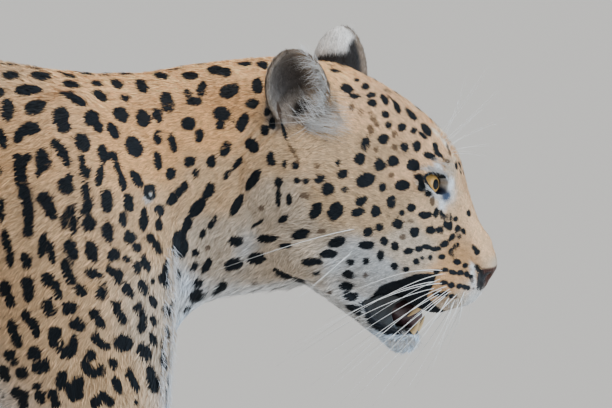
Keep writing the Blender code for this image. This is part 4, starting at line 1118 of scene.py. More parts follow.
def noise_node(nodes, links, vector, scale, detail=3.0, rough=0.55):
    node = nodes.new("ShaderNodeTexNoise")
    node.inputs["Scale"].default_value = scale
    node.inputs["Detail"].default_value = detail
    node.inputs["Roughness"].default_value = rough
    if vector is not None:
        links.new(vector, node.inputs["Vector"])
    return node


def coat_colour_group():
    """Ground colour, black marks with soft edges, and painted shade along each hair, darker at the root."""
    group = bpy.data.node_groups.new("coat_colour", "ShaderNodeTree")
    group.interface.new_socket(name="Ground", in_out="INPUT", socket_type="NodeSocketColor")
    for name in ("Mark", "Brown", "Along", "Softness"):
        group.interface.new_socket(name=name, in_out="INPUT", socket_type="NodeSocketFloat")
    group.interface.new_socket(name="Color", in_out="OUTPUT", socket_type="NodeSocketColor")
    group.interface.new_socket(name="Dark", in_out="OUTPUT", socket_type="NodeSocketFloat")
    nodes, links = group.nodes, group.links
    entry, leave = nodes.new("NodeGroupInput"), nodes.new("NodeGroupOutput")
    place = nodes.new("ShaderNodeTexCoord")
    ragged = noise_node(nodes, links, place.outputs["Object"], 420.0, 2.0)
    wobble = math_node(nodes, links, "MULTIPLY_ADD", ragged.outputs["Fac"], 1.0, -0.5)
    edge = math_node(nodes, links, "ADD", entry.outputs["Mark"], wobble)
    dark = nodes.new("ShaderNodeMapRange")
    dark.interpolation_type = "SMOOTHSTEP"
    links.new(edge, dark.inputs["Value"])
    links.new(math_node(nodes, links, "MULTIPLY", entry.outputs["Softness"], -1.0), dark.inputs["From Min"])
    links.new(entry.outputs["Softness"], dark.inputs["From Max"])
    dark.inputs["To Min"].default_value = 1.0
    dark.inputs["To Max"].default_value = 0.0
    sheen = noise_node(nodes, links, place.outputs["Object"], 900.0, 2.0)
    tone = math_node(nodes, links, "MULTIPLY_ADD", sheen.outputs["Fac"], 0.30, 0.85)
    # Painted shade along each hair: darker at the root, where the coat shades itself between the hairs; the
    # skin takes the hair's middle
    shade_along_hair = math_node(nodes, links, "MULTIPLY_ADD", entry.outputs["Along"], 0.62, 0.62)
    lit = math_node(nodes, links, "MULTIPLY", tone, shade_along_hair)
    grey = nodes.new("ShaderNodeCombineColor")
    for socket in grey.inputs:
        links.new(lit, socket)
    ground = mix_node(nodes, links, 1.0, entry.outputs["Ground"], grey.outputs[0], "MULTIPLY")
    pigment = mix_node(nodes, links, entry.outputs["Brown"], BLACK, (0.085, 0.040, 0.018))
    amount = math_node(nodes, links, "MULTIPLY", dark.outputs["Result"],
                       math_node(nodes, links, "MULTIPLY_ADD", entry.outputs["Brown"], -0.25, 1.0))
    links.new(mix_node(nodes, links, amount, ground, pigment), leave.inputs["Color"])
    links.new(amount, leave.inputs["Dark"])
    return group


def coat_material(name, roughness, softness, group, on_skin):
    material, nodes, links, shader = new_material(name, roughness, Sheen_Weight=0.04, Sheen_Roughness=0.45)
    shader.inputs["Specular IOR Level"].default_value = 0.16
    coat = nodes.new("ShaderNodeGroup")
    coat.node_tree = group
    coat.inputs["Softness"].default_value = softness
    coat.inputs["Along"].default_value = 0.45
    links.new(attribute_node(nodes, "ground").outputs["Color"], coat.inputs["Ground"])
    links.new(attribute_node(nodes, "mark").outputs["Fac"], coat.inputs["Mark"])
    links.new(attribute_node(nodes, "brown").outputs["Fac"], coat.inputs["Brown"])
    colour = coat.outputs["Color"]
    if not on_skin:
        links.new(attribute_node(nodes, "along").outputs["Fac"], coat.inputs["Along"])
        links.new(colour, shader.inputs["Base Color"])
        return material
    place = nodes.new("ShaderNodeTexCoord").outputs["Object"]
    bare = attribute_node(nodes, "bare").outputs["Color"]
    split = nodes.new("ShaderNodeSeparateColor")
    links.new(bare, split.inputs[0])
    leather, wet, pad = split.outputs[0], split.outputs[1], split.outputs[2]
    pebbles = nodes.new("ShaderNodeTexVoronoi")
    pebbles.inputs["Scale"].default_value = 900.0
    links.new(place, pebbles.inputs["Vector"])
    blotch = noise_node(nodes, links, place, 160.0)
    hide = mix_node(nodes, links, blotch.outputs["Fac"], (0.022, 0.009, 0.006), (0.085, 0.032, 0.022))
    colour = mix_node(nodes, links, leather, colour, hide)
    # Dark wet flesh of the mouth and the eyes' rims, and the painted shade in the nostrils
    flesh_and_nostril_shade = mix_node(nodes, links, blotch.outputs["Fac"], (0.010, 0.013, 0.016), (0.030, 0.028, 0.030))
    colour = mix_node(nodes, links, wet, colour, flesh_and_nostril_shade)
    colour = mix_node(nodes, links, pad, colour, (0.020, 0.016, 0.014))
    links.new(colour, shader.inputs["Base Color"])
    gloss = math_node(nodes, links, "MULTIPLY_ADD", wet, -0.42, roughness)
    links.new(math_node(nodes, links, "MULTIPLY_ADD", leather, -0.25, gloss), shader.inputs["Roughness"])
    fine = noise_node(nodes, links, place, 1100.0, 2.0)
    stitch = math_node(nodes, links, "MULTIPLY", pebbles.outputs["Distance"], leather)
    deeper = math_node(nodes, links, "MULTIPLY", stitch, 1.6)
    height = math_node(nodes, links, "ADD", fine.outputs["Fac"], deeper)
    bump = nodes.new("ShaderNodeBump")
    bump.inputs["Strength"].default_value = 0.55
    bump.inputs["Distance"].default_value = 0.0006
    links.new(height, bump.inputs["Height"])
    links.new(bump.outputs["Normal"], shader.inputs["Normal"])
    return material


def store(mesh, name, kind, values, domain="POINT"):
    field = {"FLOAT": "value", "FLOAT_COLOR": "color", "FLOAT_VECTOR": "vector"}[kind]
    attribute = mesh.attributes.new(name, kind, domain)
    attribute.data.foreach_set(field, np.ascontiguousarray(values, np.float32).ravel())


def rgba(colours):
    return np.hstack((colours, np.ones((len(colours), 1))))


# Hair

# Corners of a blade's two triangles: foot, left, right, tip
KITE = (0, 2, 1, 1, 2, 3)


def grow_hair(name, roots, normals, lies, lengths, colours, spots, uv, material, draw):
    """One coat piece: a flat, bent, pointed blade at each root, lying along the coat."""
    count = len(roots)
    across = unit(np.cross(normals, lies))
    sway = 0.20 * waves(roots, 0.016, 11)[:, None] + 0.15 * draw.normal(size=(count, 1))
    lie = unit(lies + across * sway)
    across = unit(np.cross(normals, lie))
    roll = draw.normal(size=(count, 1)) * 0.30
    flat = across * np.cos(roll) + normals * np.sin(roll)
    long = (lengths * draw.uniform(0.70, 1.20, count) * MM)[:, None]
    wide = blade_width(lengths)[:, None] * draw.uniform(0.75, 1.30, (count, 1)) * MM
    lift = LIFT * (1 + 0.22 * waves(roots, 0.011, 12) + 0.32 * draw.normal(size=count))
    lift = (lift + math.radians(9) * ramp(lengths, 11, 16))[:, None]
    lift = np.clip(lift, math.radians(5), math.radians(38))
    rise = np.sin(lift)
    foot = roots - normals * 0.3 * MM
    middle = foot + lie * long * 0.42 + normals * long * 0.42 * rise * 1.15
    bend = draw.normal(size=(count, 1))
    tip = foot + lie * long * 0.98 + normals * long * rise * 0.78 + flat * long * 0.05 * bend
    places = np.stack((foot, middle + flat * wide / 2, middle - flat * wide / 2, tip), 1).reshape(-1, 3)
    mesh = bpy.data.meshes.new(name)
    mesh.vertices.add(count * 4)
    mesh.loops.add(count * 6)
    mesh.polygons.add(count * 2)
    mesh.vertices.foreach_set("co", places.astype(np.float32).ravel())
    corner = (np.arange(count) * 4)[:, None] + np.array(KITE)
    mesh.loops.foreach_set("vertex_index", corner.astype(np.int32).ravel())
    mesh.polygons.foreach_set("loop_start", (np.arange(count * 2) * 3).astype(np.int32))
    mesh.polygons.foreach_set("use_smooth", np.ones(count * 2, bool))
    patch = np.array(((0, -0.5), (0.5, 0), (-0.5, 0), (0, 0.5)))[np.array(KITE)] * 0.003
    layer = mesh.uv_layers.new(name="OFBake")
    layer.data.foreach_set("uv", (uv[:, None, :] + patch).astype(np.float32).ravel())
    tone = 1 + 0.20 * draw.normal(size=(count, 1))
    tone += 0.13 * waves(roots, 0.0045, 13)[:, None] + 0.11 * waves(roots, 0.0024, 14)[:, None]
    store(mesh, "ground", "FLOAT_COLOR", rgba(np.repeat(np.clip(colours * tone, 0, 1), 4, 0)))
    near, brown = spots(middle)
    far, _ = spots(middle * 0.25 + tip * 0.75)
    whole = 0.35 * near + 0.65 * far + 0.30 * draw.normal(size=count)
    edge = np.stack((near, 0.5 * (near + far), 0.5 * (near + far), far), 1)
    store(mesh, "mark", "FLOAT", 0.45 * edge + 0.55 * whole[:, None])
    store(mesh, "brown", "FLOAT", np.repeat(brown, 4))
    store(mesh, "along", "FLOAT", np.tile((0.0, 0.5, 0.5, 1.0), count))
    mesh.update()
    face_up = unit(np.cross(flat, lie + normals * rise))
    face_up *= np.sign((face_up * normals).sum(1, keepdims=True))
    soft = unit(0.62 * normals + 0.52 * face_up)
    mesh.normals_split_custom_set_from_vertices(np.repeat(soft, 4, 0).astype(np.float32))
    mesh.materials.append(material)
    return linked(name, mesh)


def across_corners(values, rows, part):
    """The vertices' values at points inside triangles, by each point's share of the three corners."""
    picked = values[rows]
    return (picked * (part[:, :, None] if picked.ndim == 3 else part)).sum(1)


def blade_width(lengths):
    """Width in millimetres of a blade of each length."""
    return 0.17 + 0.072 * lengths


# Build

skin = finish_skin(build_skin())
mesh = skin.data
mesh.calc_loop_triangles()
triangles = triangle_rows(mesh)
places, normals = vertex_places(mesh), vertex_normals(mesh)
print("skin triangles", len(triangles), "vertices", len(places))

finder, owner_names = node_finder()
middles = places[triangles].mean(1)
owners = [owner_names[finder.find(m)[1]] for m in middles]
flat = unwrap(mesh, triangles, owners)

ends = edge_ends(mesh)
lies, lengths, tones = coat_at(places)
for name, back in TO_EARS.items():
    egg = moved(places, back)
    on_ear = ((1 - ramp(np.linalg.norm(egg, axis=1), 1.12, 1.4)) * ramp(egg[:, 2], -0.85, -0.5))[:, None]
    up = np.array(EARS[name][1], float)
    lies = lies * (1 - on_ear) + up * on_ear
    lengths = lengths * (1 - on_ear[:, 0]) + 4.2 * on_ear[:, 0]
for _ in range(3):
    lies = lies - normals * (lies * normals).sum(1, keepdims=True)
    lies = spread(unit(lies), ends, 3)
lies = unit(lies - normals * (lies * normals).sum(1, keepdims=True))
_, hair = skin_facts(places)

skin_tree = BVHTree.FromPolygons([Vector(p) for p in places], triangles.tolist())
marks = Marks(skin_tree)
for row in HEAD_SEEN:
    marks.seen_from_photo(*row)
head_count = len(marks.rows)
for row in BODY_SEEN:
    marks.seen_from_photo(*row)
seen = list(marks.rows)
mirror_draw = np.random.default_rng(5)
body_frame = Matrix.Translation(-SHIFT)
for k, row in enumerate(seen):
    if k < head_count:
        marks.mirror(row, TO_HEAD, HEAD, mirror_draw)
    else:
        marks.mirror(row, body_frame, body_frame.inverted(), mirror_draw)
for x, y, wide in WARM_SEEN:
    place, _, _, _ = skin_tree.ray_cast(EYE_POINT, photo_ray(x, y))
    if place is not None:
        marks.warm.append((np.array(place), wide * 0.75 * MM))
        marks.warm.append((np.array((place[0], -place[1], place[2])), wide * 0.75 * MM))
grow_marks(marks, mesh, lies)
ring_the_tail(marks)
print("marks", len(marks.rows))

scar = np.array(skin_tree.ray_cast(EYE_POINT, photo_ray(*SCAR_SEEN[:2]))[0])


def spots(points):
    """Distance from the nearest mark or black zone, and the brownness of that mark."""
    distance, brown = marks.at(points)
    distance = distance + 0.55 * waves(points, 0.009, 21) + 0.25 * waves(points, 0.004, 22)
    distance = np.maximum(distance, SCAR_SEEN[2] - np.linalg.norm(points - scar, axis=1) / MM)
    zone = dark_zones(points)
    brown = np.where(zone < distance, 0.0, brown)
    return np.minimum(distance, zone), brown


head_places = moved(places, TO_HEAD)
ground = ground_colour(places, normals, tones)
warm = marks.warmth(places)[:, None]
ground = ground * (1 - 0.55 * warm) + np.array((0.50, 0.29, 0.13)) * 0.55 * warm
for x, y, radius, colour in PATCHES_SEEN:
    centre, _, _, _ = skin_tree.ray_cast(EYE_POINT, photo_ray(x, y))
    local = np.array(TO_HEAD @ centre)
    for side in (1, -1):
        away = np.linalg.norm(head_places - local * np.array((1, side, 1)), axis=1)
        patch = (1 - ramp(away, 0.55 * radius, 1.25 * radius))[:, None]
        ground = ground * (1 - patch) + np.array(colour) * patch
pale = (1 - ramp(np.linalg.norm(places - scar, axis=1) / MM, 3, 7))[:, None]
ground = ground * (1 - pale) + np.array((0.52, 0.60, 0.68)) * pale
distance, brown = spots(places)
gap = outline_distance(head_places[:, (0, 2)], MOUTH_GAP)
wet = np.where((head_places[:, 0] > 60) & (abs(head_places[:, 1]) < 75), 1 - ramp(gap, 1.5, 3.5), 0)
for side in (-1, 1):
    lid, local = lid_distance(places, side)
    away = np.linalg.norm(local, axis=1) - EYE_RADIUS
    moist = (1 - ramp(away, 1.4, 2.2)) * (1 - ramp(lid, 0, 0.6))
    wet = np.maximum(wet, np.where(local[:, 0] > 2, moist, 0))
leather = leather_zone(head_places)
# Painted shade: the nostrils' openings are painted dark as the shade inside them, with the wet flesh's
# colour
nostril_shade = 1 - ramp(slit_distance(head_places), 2.4, 4.0)
for side in (-1, 1):
    away = np.linalg.norm((head_places - np.array((180, side * 12, 2))) / np.array((9, 6.5, 7.5)), axis=1)
    nostril_shade = np.maximum(nostril_shade, 1 - ramp(away, 0.9, 1.15))
wet = np.maximum(wet, nostril_shade)
sole = 1 - ramp(places[:, 2] - SHIFT.z, 0.007, 0.013)
store(mesh, "ground", "FLOAT_COLOR", rgba(ground))
store(mesh, "mark", "FLOAT", distance)
store(mesh, "brown", "FLOAT", brown)
store(mesh, "bare", "FLOAT_COLOR", rgba(np.stack((leather, wet, sole), 1)))

coat_group = coat_colour_group()
skin_material = coat_material("short_fur_on_skin", 0.72, 0.9, coat_group, True)
hair_material = coat_material("coat_hair", 0.58, 0.7, coat_group, False)
mesh.materials.clear()
mesh.materials.append(skin_material)
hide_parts(*FLESH)
pieces = [skin]


def both_sides(*parts):
    return tuple(part + side for part in parts for side in ("_right", "_left"))


# The coat in pieces: the parts of the skin under each, its side or 0 for both, and how thick the hair stands
COAT_PIECES = {
    "coat_head_right": (HEAD_PARTS, -1, 2.6),
    "coat_head_left": (HEAD_PARTS, 1, 2.3),
    "coat_neck_right": (("neck",), -1, 2.7),
    "coat_neck_left": (("neck",), 1, 2.2),
    "coat_torso_right": (("torso",), -1, 2.2),
    "coat_torso_left": (("torso",), 1, 2.1),
    "coat_forelegs": (both_sides("upper_arm", "forearm", "forepaw"), 0, 2.0),
    "coat_hindlegs": (both_sides("thigh", "shank", "hindpaw"), 0, 1.6),
    "coat_tail": (("tail_root", "tail_middle", "tail_tip"), 0, 1.9),
}
owners = np.array(owners)
corners = places[triangles]
areas = np.linalg.norm(np.cross(corners[:, 1] - corners[:, 0], corners[:, 2] - corners[:, 0]), axis=1) / 2
blade_area = blade_width(lengths) * lengths * 0.5 * 1e-6
thickness = hair[triangles].mean(1) / blade_area[triangles].mean(1)
side_of = np.where(head_places[triangles].mean(1)[:, 1] < 0, -1, 1)
body_side = np.where(middles[:, 1] < 0, -1, 1)
wanted = {}
for name, (nodes, side, cover) in COAT_PIECES.items():
    own = np.isin(owners, nodes)
    if side:
        own &= (side_of if "head" in name else body_side) == side
    share = areas * thickness * cover * own
    wanted[name] = share
total = sum(s.sum() for s in wanted.values())
print("blades wanted", round(total))
for number, (name, share) in enumerate(wanted.items()):
    draw = np.random.default_rng(100 + number)
    count = int(min(share.sum() * BLADES / total, PIECE_BLADES))
    reach = np.cumsum(share)
    chosen = np.searchsorted(reach, draw.uniform(0, reach[-1], count))
    first, second = draw.uniform(size=count), draw.uniform(size=count)
    over = first + second > 1
    first[over], second[over] = 1 - first[over], 1 - second[over]
    part = np.stack((1 - first - second, first, second), 1)
    rows = triangles[chosen]
    at_roots = [across_corners(values, rows, part) for values in (places, normals, lies, lengths, ground)]
    roots, root_normals, root_lies, root_lengths, root_ground = at_roots
    piece = grow_hair(
        name, roots, unit(root_normals), unit(root_lies), root_lengths, root_ground, spots,
        (flat[chosen] * part[:, :, None]).sum(1), hair_material, draw,
    )
    pieces.append(piece)
    print(name, count)


# Eyes, teeth, tongue

# The pupil, the iris and its dark rim: distance from the middle, as a share of the ball's radius, and tone
IRIS_TONES = ((0.0, 0.0), (0.35, 0.0), (0.38, 1.0), (0.74, 0.85), (0.84, 0.05), (1.0, 0.03))


def eye_material():
    material, nodes, links, shader = new_material("wet_eye", 0.10, Coat_Weight=0.12, Coat_Roughness=0.02)
    gaze = attribute_node(nodes, "gaze")
    split = nodes.new("ShaderNodeSeparateXYZ")
    links.new(gaze.outputs["Vector"], split.inputs[0])
    ring = math_node(nodes, links, "SQRT", math_node(
        nodes, links, "ADD", math_node(nodes, links, "POWER", split.outputs[1], 2.0),
        math_node(nodes, links, "POWER", split.outputs[2], 2.0)))
    squeeze = nodes.new("ShaderNodeVectorMath")
    squeeze.operation = "NORMALIZE"
    flatten = nodes.new("ShaderNodeCombineXYZ")
    links.new(split.outputs[1], flatten.inputs[1])
    links.new(split.outputs[2], flatten.inputs[2])
    links.new(flatten.outputs[0], squeeze.inputs[0])
    streaks = noise_node(nodes, links, squeeze.outputs[0], 9.0, 5.0, 0.7)
    amber = mix_node(nodes, links, streaks.outputs["Fac"], (0.30, 0.13, 0.022), (0.72, 0.42, 0.11))
    stops = nodes.new("ShaderNodeValToRGB")
    stops.color_ramp.interpolation = "EASE"
    while len(stops.color_ramp.elements) < len(IRIS_TONES):
        stops.color_ramp.elements.new(0.5)
    for element, (where, tone) in zip(stops.color_ramp.elements, IRIS_TONES):
        element.position = where
        element.color = (tone, tone, tone, 1.0)
    links.new(ring, stops.inputs[0])
    tinted = mix_node(nodes, links, 1.0, amber, stops.outputs[0], "MULTIPLY")
    floor = mix_node(nodes, links, 1.0, tinted, (0.006, 0.010, 0.014), "ADD")
    links.new(floor, shader.inputs["Base Color"])
    shader.inputs["Specular IOR Level"].default_value = 0.08
    return material


def build_eye(side, name, node, material):
    """A ball with a raised cornea, turned as the solid's is."""
    bpy.ops.object.select_all(action="DESELECT")
    bpy.ops.mesh.primitive_uv_sphere_add(
        segments=64, ring_count=40, radius=EYE_RADIUS, rotation=(0, math.pi / 2, 0)
    )
    ball = bpy.context.view_layer.objects.active
    bpy.ops.object.transform_apply(location=True, rotation=True, scale=True)
    ball.name = ball.data.name = name
    points = vertex_places(ball.data)
    facing = points[:, 0] / EYE_RADIUS
    points *= (1 + CORNEA_RISE / EYE_RADIUS * ramp(facing, 0.70, 0.90))[:, None]
    store(ball.data, "gaze", "FLOAT_VECTOR", points / EYE_RADIUS)
    set_places(ball.data, moved(points, EYES[side]))
    choose(ball)
    bpy.ops.object.shade_smooth()
    ball.data.materials.append(material)
    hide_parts(node)
    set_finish(ball, "eye")
    return ball


eye_finish = eye_material()
pieces.append(build_eye(-1, "eyeball_right", "eye_right", eye_finish))
pieces.append(build_eye(1, "eyeball_left", "eye_left", eye_finish))


# The tip of the tongue, in the head's frame: where it starts, and how it reaches and swells past there
TIP_START, TIP_REACH, TIP_LEVEL, TIP_SWELL = 118, 0.28, -68, 0.025


def refined(node, name, levels, slot, material):
    """A solid's form, finer and smooth."""
    piece = merged_copy(node, name)
    rounder = piece.modifiers.new("rounder", "SUBSURF")
    rounder.levels = rounder.render_levels = levels
    apply_all(piece)
    bpy.ops.object.shade_smooth()
    piece.data.materials.append(material)
    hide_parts(node)
    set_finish(piece, slot)
    return piece


def mottled_material(name, roughness, scale, detail, low, high, **values):
    """A surface whose colour wanders between two tones."""
    material, nodes, links, shader = new_material(name, roughness, **values)
    place = nodes.new("ShaderNodeTexCoord").outputs["Object"]
    blotch = noise_node(nodes, links, place, scale, detail)
    links.new(mix_node(nodes, links, blotch.outputs["Fac"], low, high), shader.inputs["Base Color"])
    return material


def tongue_material():
    # Painted shade: the tongue's pink is darkened almost to black, as the shade inside the mouth
    material = mottled_material(
        "tongue_in_painted_shade", 0.30, 120.0, 4.0, (0.014, 0.016, 0.020), (0.10, 0.040, 0.042), Coat_Weight=0.35
    )
    nodes, links = material.node_tree.nodes, material.node_tree.links
    shader, place = nodes["Principled BSDF"], nodes["Texture Coordinate"].outputs["Object"]
    papillae = nodes.new("ShaderNodeTexVoronoi")
    papillae.inputs["Scale"].default_value = 620.0
    links.new(place, papillae.inputs["Vector"])
    bump = nodes.new("ShaderNodeBump")
    bump.inputs["Strength"].default_value = 0.6
    bump.inputs["Distance"].default_value = 0.0005
    links.new(papillae.outputs["Distance"], bump.inputs["Height"])
    links.new(bump.outputs["Normal"], shader.inputs["Normal"])
    return material


def long_tongue(material):
    """The tongue, its tip drawn forward between the lower fangs."""
    piece = refined("tongue", "tongue_skin", 2, "tongue", material)
    points = moved(vertex_places(piece.data), TO_HEAD)
    ahead = np.maximum(points[:, 0] - TIP_START, 0)
    points[:, 0] += TIP_REACH * ahead
    points[:, 2] += (points[:, 2] - TIP_LEVEL) * TIP_SWELL * ahead
    set_places(piece.data, moved(points, HEAD))
    return piece


ivory = mottled_material(
    "tooth_ivory", 0.30, 220.0, 4.0, (0.50, 0.27, 0.085), (0.72, 0.55, 0.30), Coat_Weight=0.3
)
pieces.append(long_tongue(tongue_material()))
for tooth in ("canine_upper_right", "canine_upper_left", "canine_lower_right", "canine_lower_left"):
    pieces.append(refined(tooth, "fang" + tooth.replace("canine", ""), 2, "tooth", ivory))


# Whiskers and long hairs

def strands(name, paths, thick, material, sides=5):
    """Tapered hairs, each along its own line of points."""
    places, faces = [], []
    ring = [(math.cos(2 * math.pi * k / sides), math.sin(2 * math.pi * k / sides)) for k in range(sides)]
    for path, radius in zip(paths, thick):
        base = len(places)
        for k, point in enumerate(path):
            ahead = path[min(k + 1, len(path) - 1)] - path[max(k - 1, 0)]
            side = ahead.cross(Vector((0.3, 0.2, 1))).normalized()
            over = ahead.cross(side).normalized()
            t = k / (len(path) - 1)
            wide = radius * (1 - 0.88 * t ** 1.3)
            places.extend(point + side * c * wide + over * s * wide for c, s in ring)
        for k in range(len(path) - 1):
            for j in range(sides):
                a, b = base + k * sides + j, base + k * sides + (j + 1) % sides
                faces.append((a, b, b + sides, a + sides))
        faces.append(tuple(base + j for j in reversed(range(sides))))
        faces.append(tuple(base + (len(path) - 1) * sides + j for j in range(sides)))
    mesh = bpy.data.meshes.new(name)
    mesh.from_pydata(places, [], faces)
    mesh.validate()
    piece = linked(name, mesh)
    face_outward(piece)
    piece.data.materials.append(material)
    return piece


def swept(root, start, end, droop, steps=11):
    """A bent line from a root on the skin: it sets out one way and ends at another place."""
    control = root + start
    points = []
    for k in range(steps):
        t = k / (steps - 1)
        curve = root * (1 - t) ** 2 + control * 2 * t * (1 - t) + end * t * t
        points.append(curve + Vector((0, 0, -droop * t * t)))
    return points


def loose_hair_material(name, low, high):
    return mottled_material(name, 0.35, 60.0, 3.0, low, high)


whisker_white = loose_hair_material("whisker_white", (0.70, 0.70, 0.68), (0.92, 0.92, 0.91))
ear_white = loose_hair_material("loose_hair", (0.42, 0.38, 0.34), (0.86, 0.86, 0.86))
whisker_draw = np.random.default_rng(31)


def on_skin(x, y, side, inward=(410, 220)):
    """The skin's point at the photo's x and y, or its twin on the other side of the head."""
    for pull in range(12):
        px, py = x + (inward[0] - x) * 0.03 * pull, y + (inward[1] - y) * 0.03 * pull
        place, normal, _, _ = skin_tree.ray_cast(EYE_POINT, photo_ray(px, py))
        if place is not None:
            break
    if side > 0:
        local = TO_HEAD @ place
        place, normal, _, _ = skin_tree.find_nearest(HEAD @ Vector((local.x, -local.y, local.z)))
    return place, normal


# Muzzle whiskers: root and tip in the photo's frame, and how far the tip stands out sideways
WHISKERS = (
    (437, 272, 352, 292, 14), (446, 271, 330, 300, 20), (452, 273, 338, 322, 26),
    (445, 283, 296, 341, 18), (451, 285, 300, 372, 30), (459, 286, 322, 392, 34),
    (438, 281, 288, 352, 10), (464, 288, 352, 398, 36), (440, 294, 312, 384, 12),
    (447, 295, 340, 402, 22), (455, 286, 396, 330, 34), (450, 297, 372, 404, 26),
    (461, 274, 348, 330, 34), (456, 298, 404, 392, 28), (436, 288, 276, 366, 8), (443, 289, 330, 380, 28),
    (466, 289, 432, 352, 30), (459, 297, 447, 336, 16), (453, 301, 430, 372, 14),
    (462, 297, 458, 326, 10),
)
BROW_HAIRS = (
    (444, 130, 492, 62, 4), (446, 134, 468, 72, 10), (448, 136, 490, 96, 6), (450, 139, 501, 88, 2),
    (451, 142, 507, 114, 8), (452, 145, 472, 131, 14), (455, 149, 498, 147, 4), (456, 151, 488, 156, 10),
)
CHEEK_HAIRS = ((357, 229, 214, 271, 8), (352, 253, 288, 306, 10), (354, 250, 300, 298, 14))
paths, thick = [], []
for rows, radius in ((WHISKERS, 0.42), (BROW_HAIRS, 0.26), (CHEEK_HAIRS, 0.36)):
    for x, y, tip_x, tip_y, out in rows:
        for side in (-1, 1):
            root, normal = on_skin(x, y, side)
            reach = Vector(((tip_x - x) * MM, 0, (y - tip_y) * MM))
            if side > 0:
                reach = reach * whisker_draw.uniform(0.86, 1.06)
                reach.z += whisker_draw.normal() * 0.006
            end = root + reach + Vector((0, side * out * MM, 0))
            end.y = max(-0.150, min(0.150, end.y))
            start = normal * 0.18 * reach.length + reach * 0.36
            start.z += 0.10 * reach.length if radius > 0.3 else 0.02 * reach.length
            paths.append(swept(root - normal * 1.2 * MM, start, end, 0.0))
            thick.append(radius * MM * whisker_draw.uniform(0.8, 1.15))
pieces.append(strands("whiskers", paths, thick, whisker_white))


def ear_hairs(name, count, draw):
    """Long pale hairs from the front edge of the ear's cup, combed across its opening."""
    place = EAR_FRAMES[name]
    paths, thick = [], []
    forward = HEAD.to_3x3() @ Vector((1, 0, 0)) / MM
    opening = Vector(EARS[name][2]).normalized()
    front = 1 if name == "ear_right" else -1
    up = Vector((0, 0, 1))
    for _ in range(count):
        turn = draw.uniform(-1.75, 1.0)
        depth = draw.uniform(0.0, 0.55)
        reach = 0.93 * (1 - 0.35 * depth)
        local = Vector((0.10 - 0.60 * depth, front * math.cos(turn) * reach, math.sin(turn) * reach))
        found, normal, _, _ = skin_tree.find_nearest(place @ local)
        low = max(0.0, min(1.0, (-turn - 0.1) / 1.2))
        long = draw.uniform(0.013, 0.024) * (1 - low) + draw.uniform(0.022, 0.042) * low
        back_fan = -forward * draw.uniform(0.2, 0.9) + up * draw.uniform(-0.5, 0.9) + opening * 0.25
        front_fan = Vector((1, 0, draw.uniform(-0.50, 0.20))) + opening * 0.22
        fan = (front_fan if draw.uniform() < 0.85 * low else back_fan).normalized()
        control = opening * long * 0.32 + up * long * 0.15 * (1 - low)
        droop = draw.uniform(0.0, 0.004)
        paths.append(swept(found - normal * 0.5 * MM, control, found + fan * long, droop, 7))
        thick.append(draw.uniform(0.14, 0.27) * MM)
    return paths, thick


ear_draw = np.random.default_rng(41)
for name, count in (("ear_right", 700), ("ear_left", 450)):
    paths, thick = ear_hairs(name, count, ear_draw)
    pieces.append(strands(name + "_hairs", paths, thick, ear_white, 3))


def fringe(name, rows, draw, material, sides=(-1, 1), inward=(410, 220)):
    """Short tufts of loose hair: a span of the photo's frame, how many, and each hair's lie and length."""
    paths, thick = [], []
    for x0, x1, y0, y1, count, dx, dz, low, high, out in rows:
        for _ in range(count):
            share = draw.uniform()
            x = x0 + (x1 - x0) * share + draw.normal() * 1.2
            y = y0 + (y1 - y0) * share + draw.normal() * 1.2
            for side in sides:
                root, normal = on_skin(x, y, side, inward)
                stray_x, stray_z = draw.normal() * 0.25, draw.normal() * 0.25
                lie = Vector((dx + stray_x, side * out, dz + stray_z)).normalized()
                long = draw.uniform(low, high) * MM
                paths.append(swept(root - normal * 0.4 * MM, normal * long * 0.3 + lie * long * 0.3,
                                   root + lie * long, 0.0, 6))
                thick.append(draw.uniform(0.16, 0.30) * MM)
    return strands(name, paths, thick, material, 3)


# Above the eyes, on the chin and along the front of the upper lip
FRINGE_ROWS = (
    (426, 446, 166, 172, 60, 0.75, -0.55, 5, 10, 0.25), (430, 448, 158, 166, 40, 0.8, -0.2, 4, 8, 0.3),
    (388, 414, 338, 340, 130, 0.10, -1.0, 7, 13, 0.15), (396, 416, 326, 344, 90, 0.55, -0.85, 6, 11, 0.15),
    (447, 480, 305, 288, 60, 0.10, -1.0, 3, 6, 0.15),
)
pieces.append(fringe("face_tufts", FRINGE_ROWS, np.random.default_rng(43), ear_white))
# Along the front of the chest, and the tawny front edge of the near ear
CHEST_ROWS = (
    (174, 168, 245, 400, 300, 0.35, -1.0, 9, 17, 0.25), (168, 160, 245, 400, 160, 0.25, -1.0, 9, 16, 0.35),
)
EAR_ROWS = (
    (313, 328, 66, 98, 90, 0.75, -0.75, 7, 13, 0.35), (328, 340, 98, 120, 80, 0.60, -0.80, 8, 14, 0.35),
)
pale_hair = loose_hair_material("chest_hair", (0.66, 0.68, 0.72), (0.88, 0.90, 0.94))
tawny_hair = loose_hair_material("ear_edge_hair", (0.32, 0.20, 0.11), (0.66, 0.48, 0.30))
pieces.append(fringe("chest_tufts", CHEST_ROWS, np.random.default_rng(47), pale_hair, (-1,), (120, 320)))
pieces.append(fringe("ear_edge_tufts", EAR_ROWS, np.random.default_rng(53), tawny_hair, (-1,), (300, 110)))


# The black folds of the cheeks that close the corners of the mouth
UPPER_LIP = ((94, -80), (97, -78), (104, -68), (116, -61), (132, -57.5), (150, -56))
LOWER_LIP = ((94, -80), (100, -84), (112, -89), (128, -91), (140, -88), (150, -86))
JAW_WIDTH = ((90, 44), (98, 41), (120, 33), (138, 26), (150, 20))


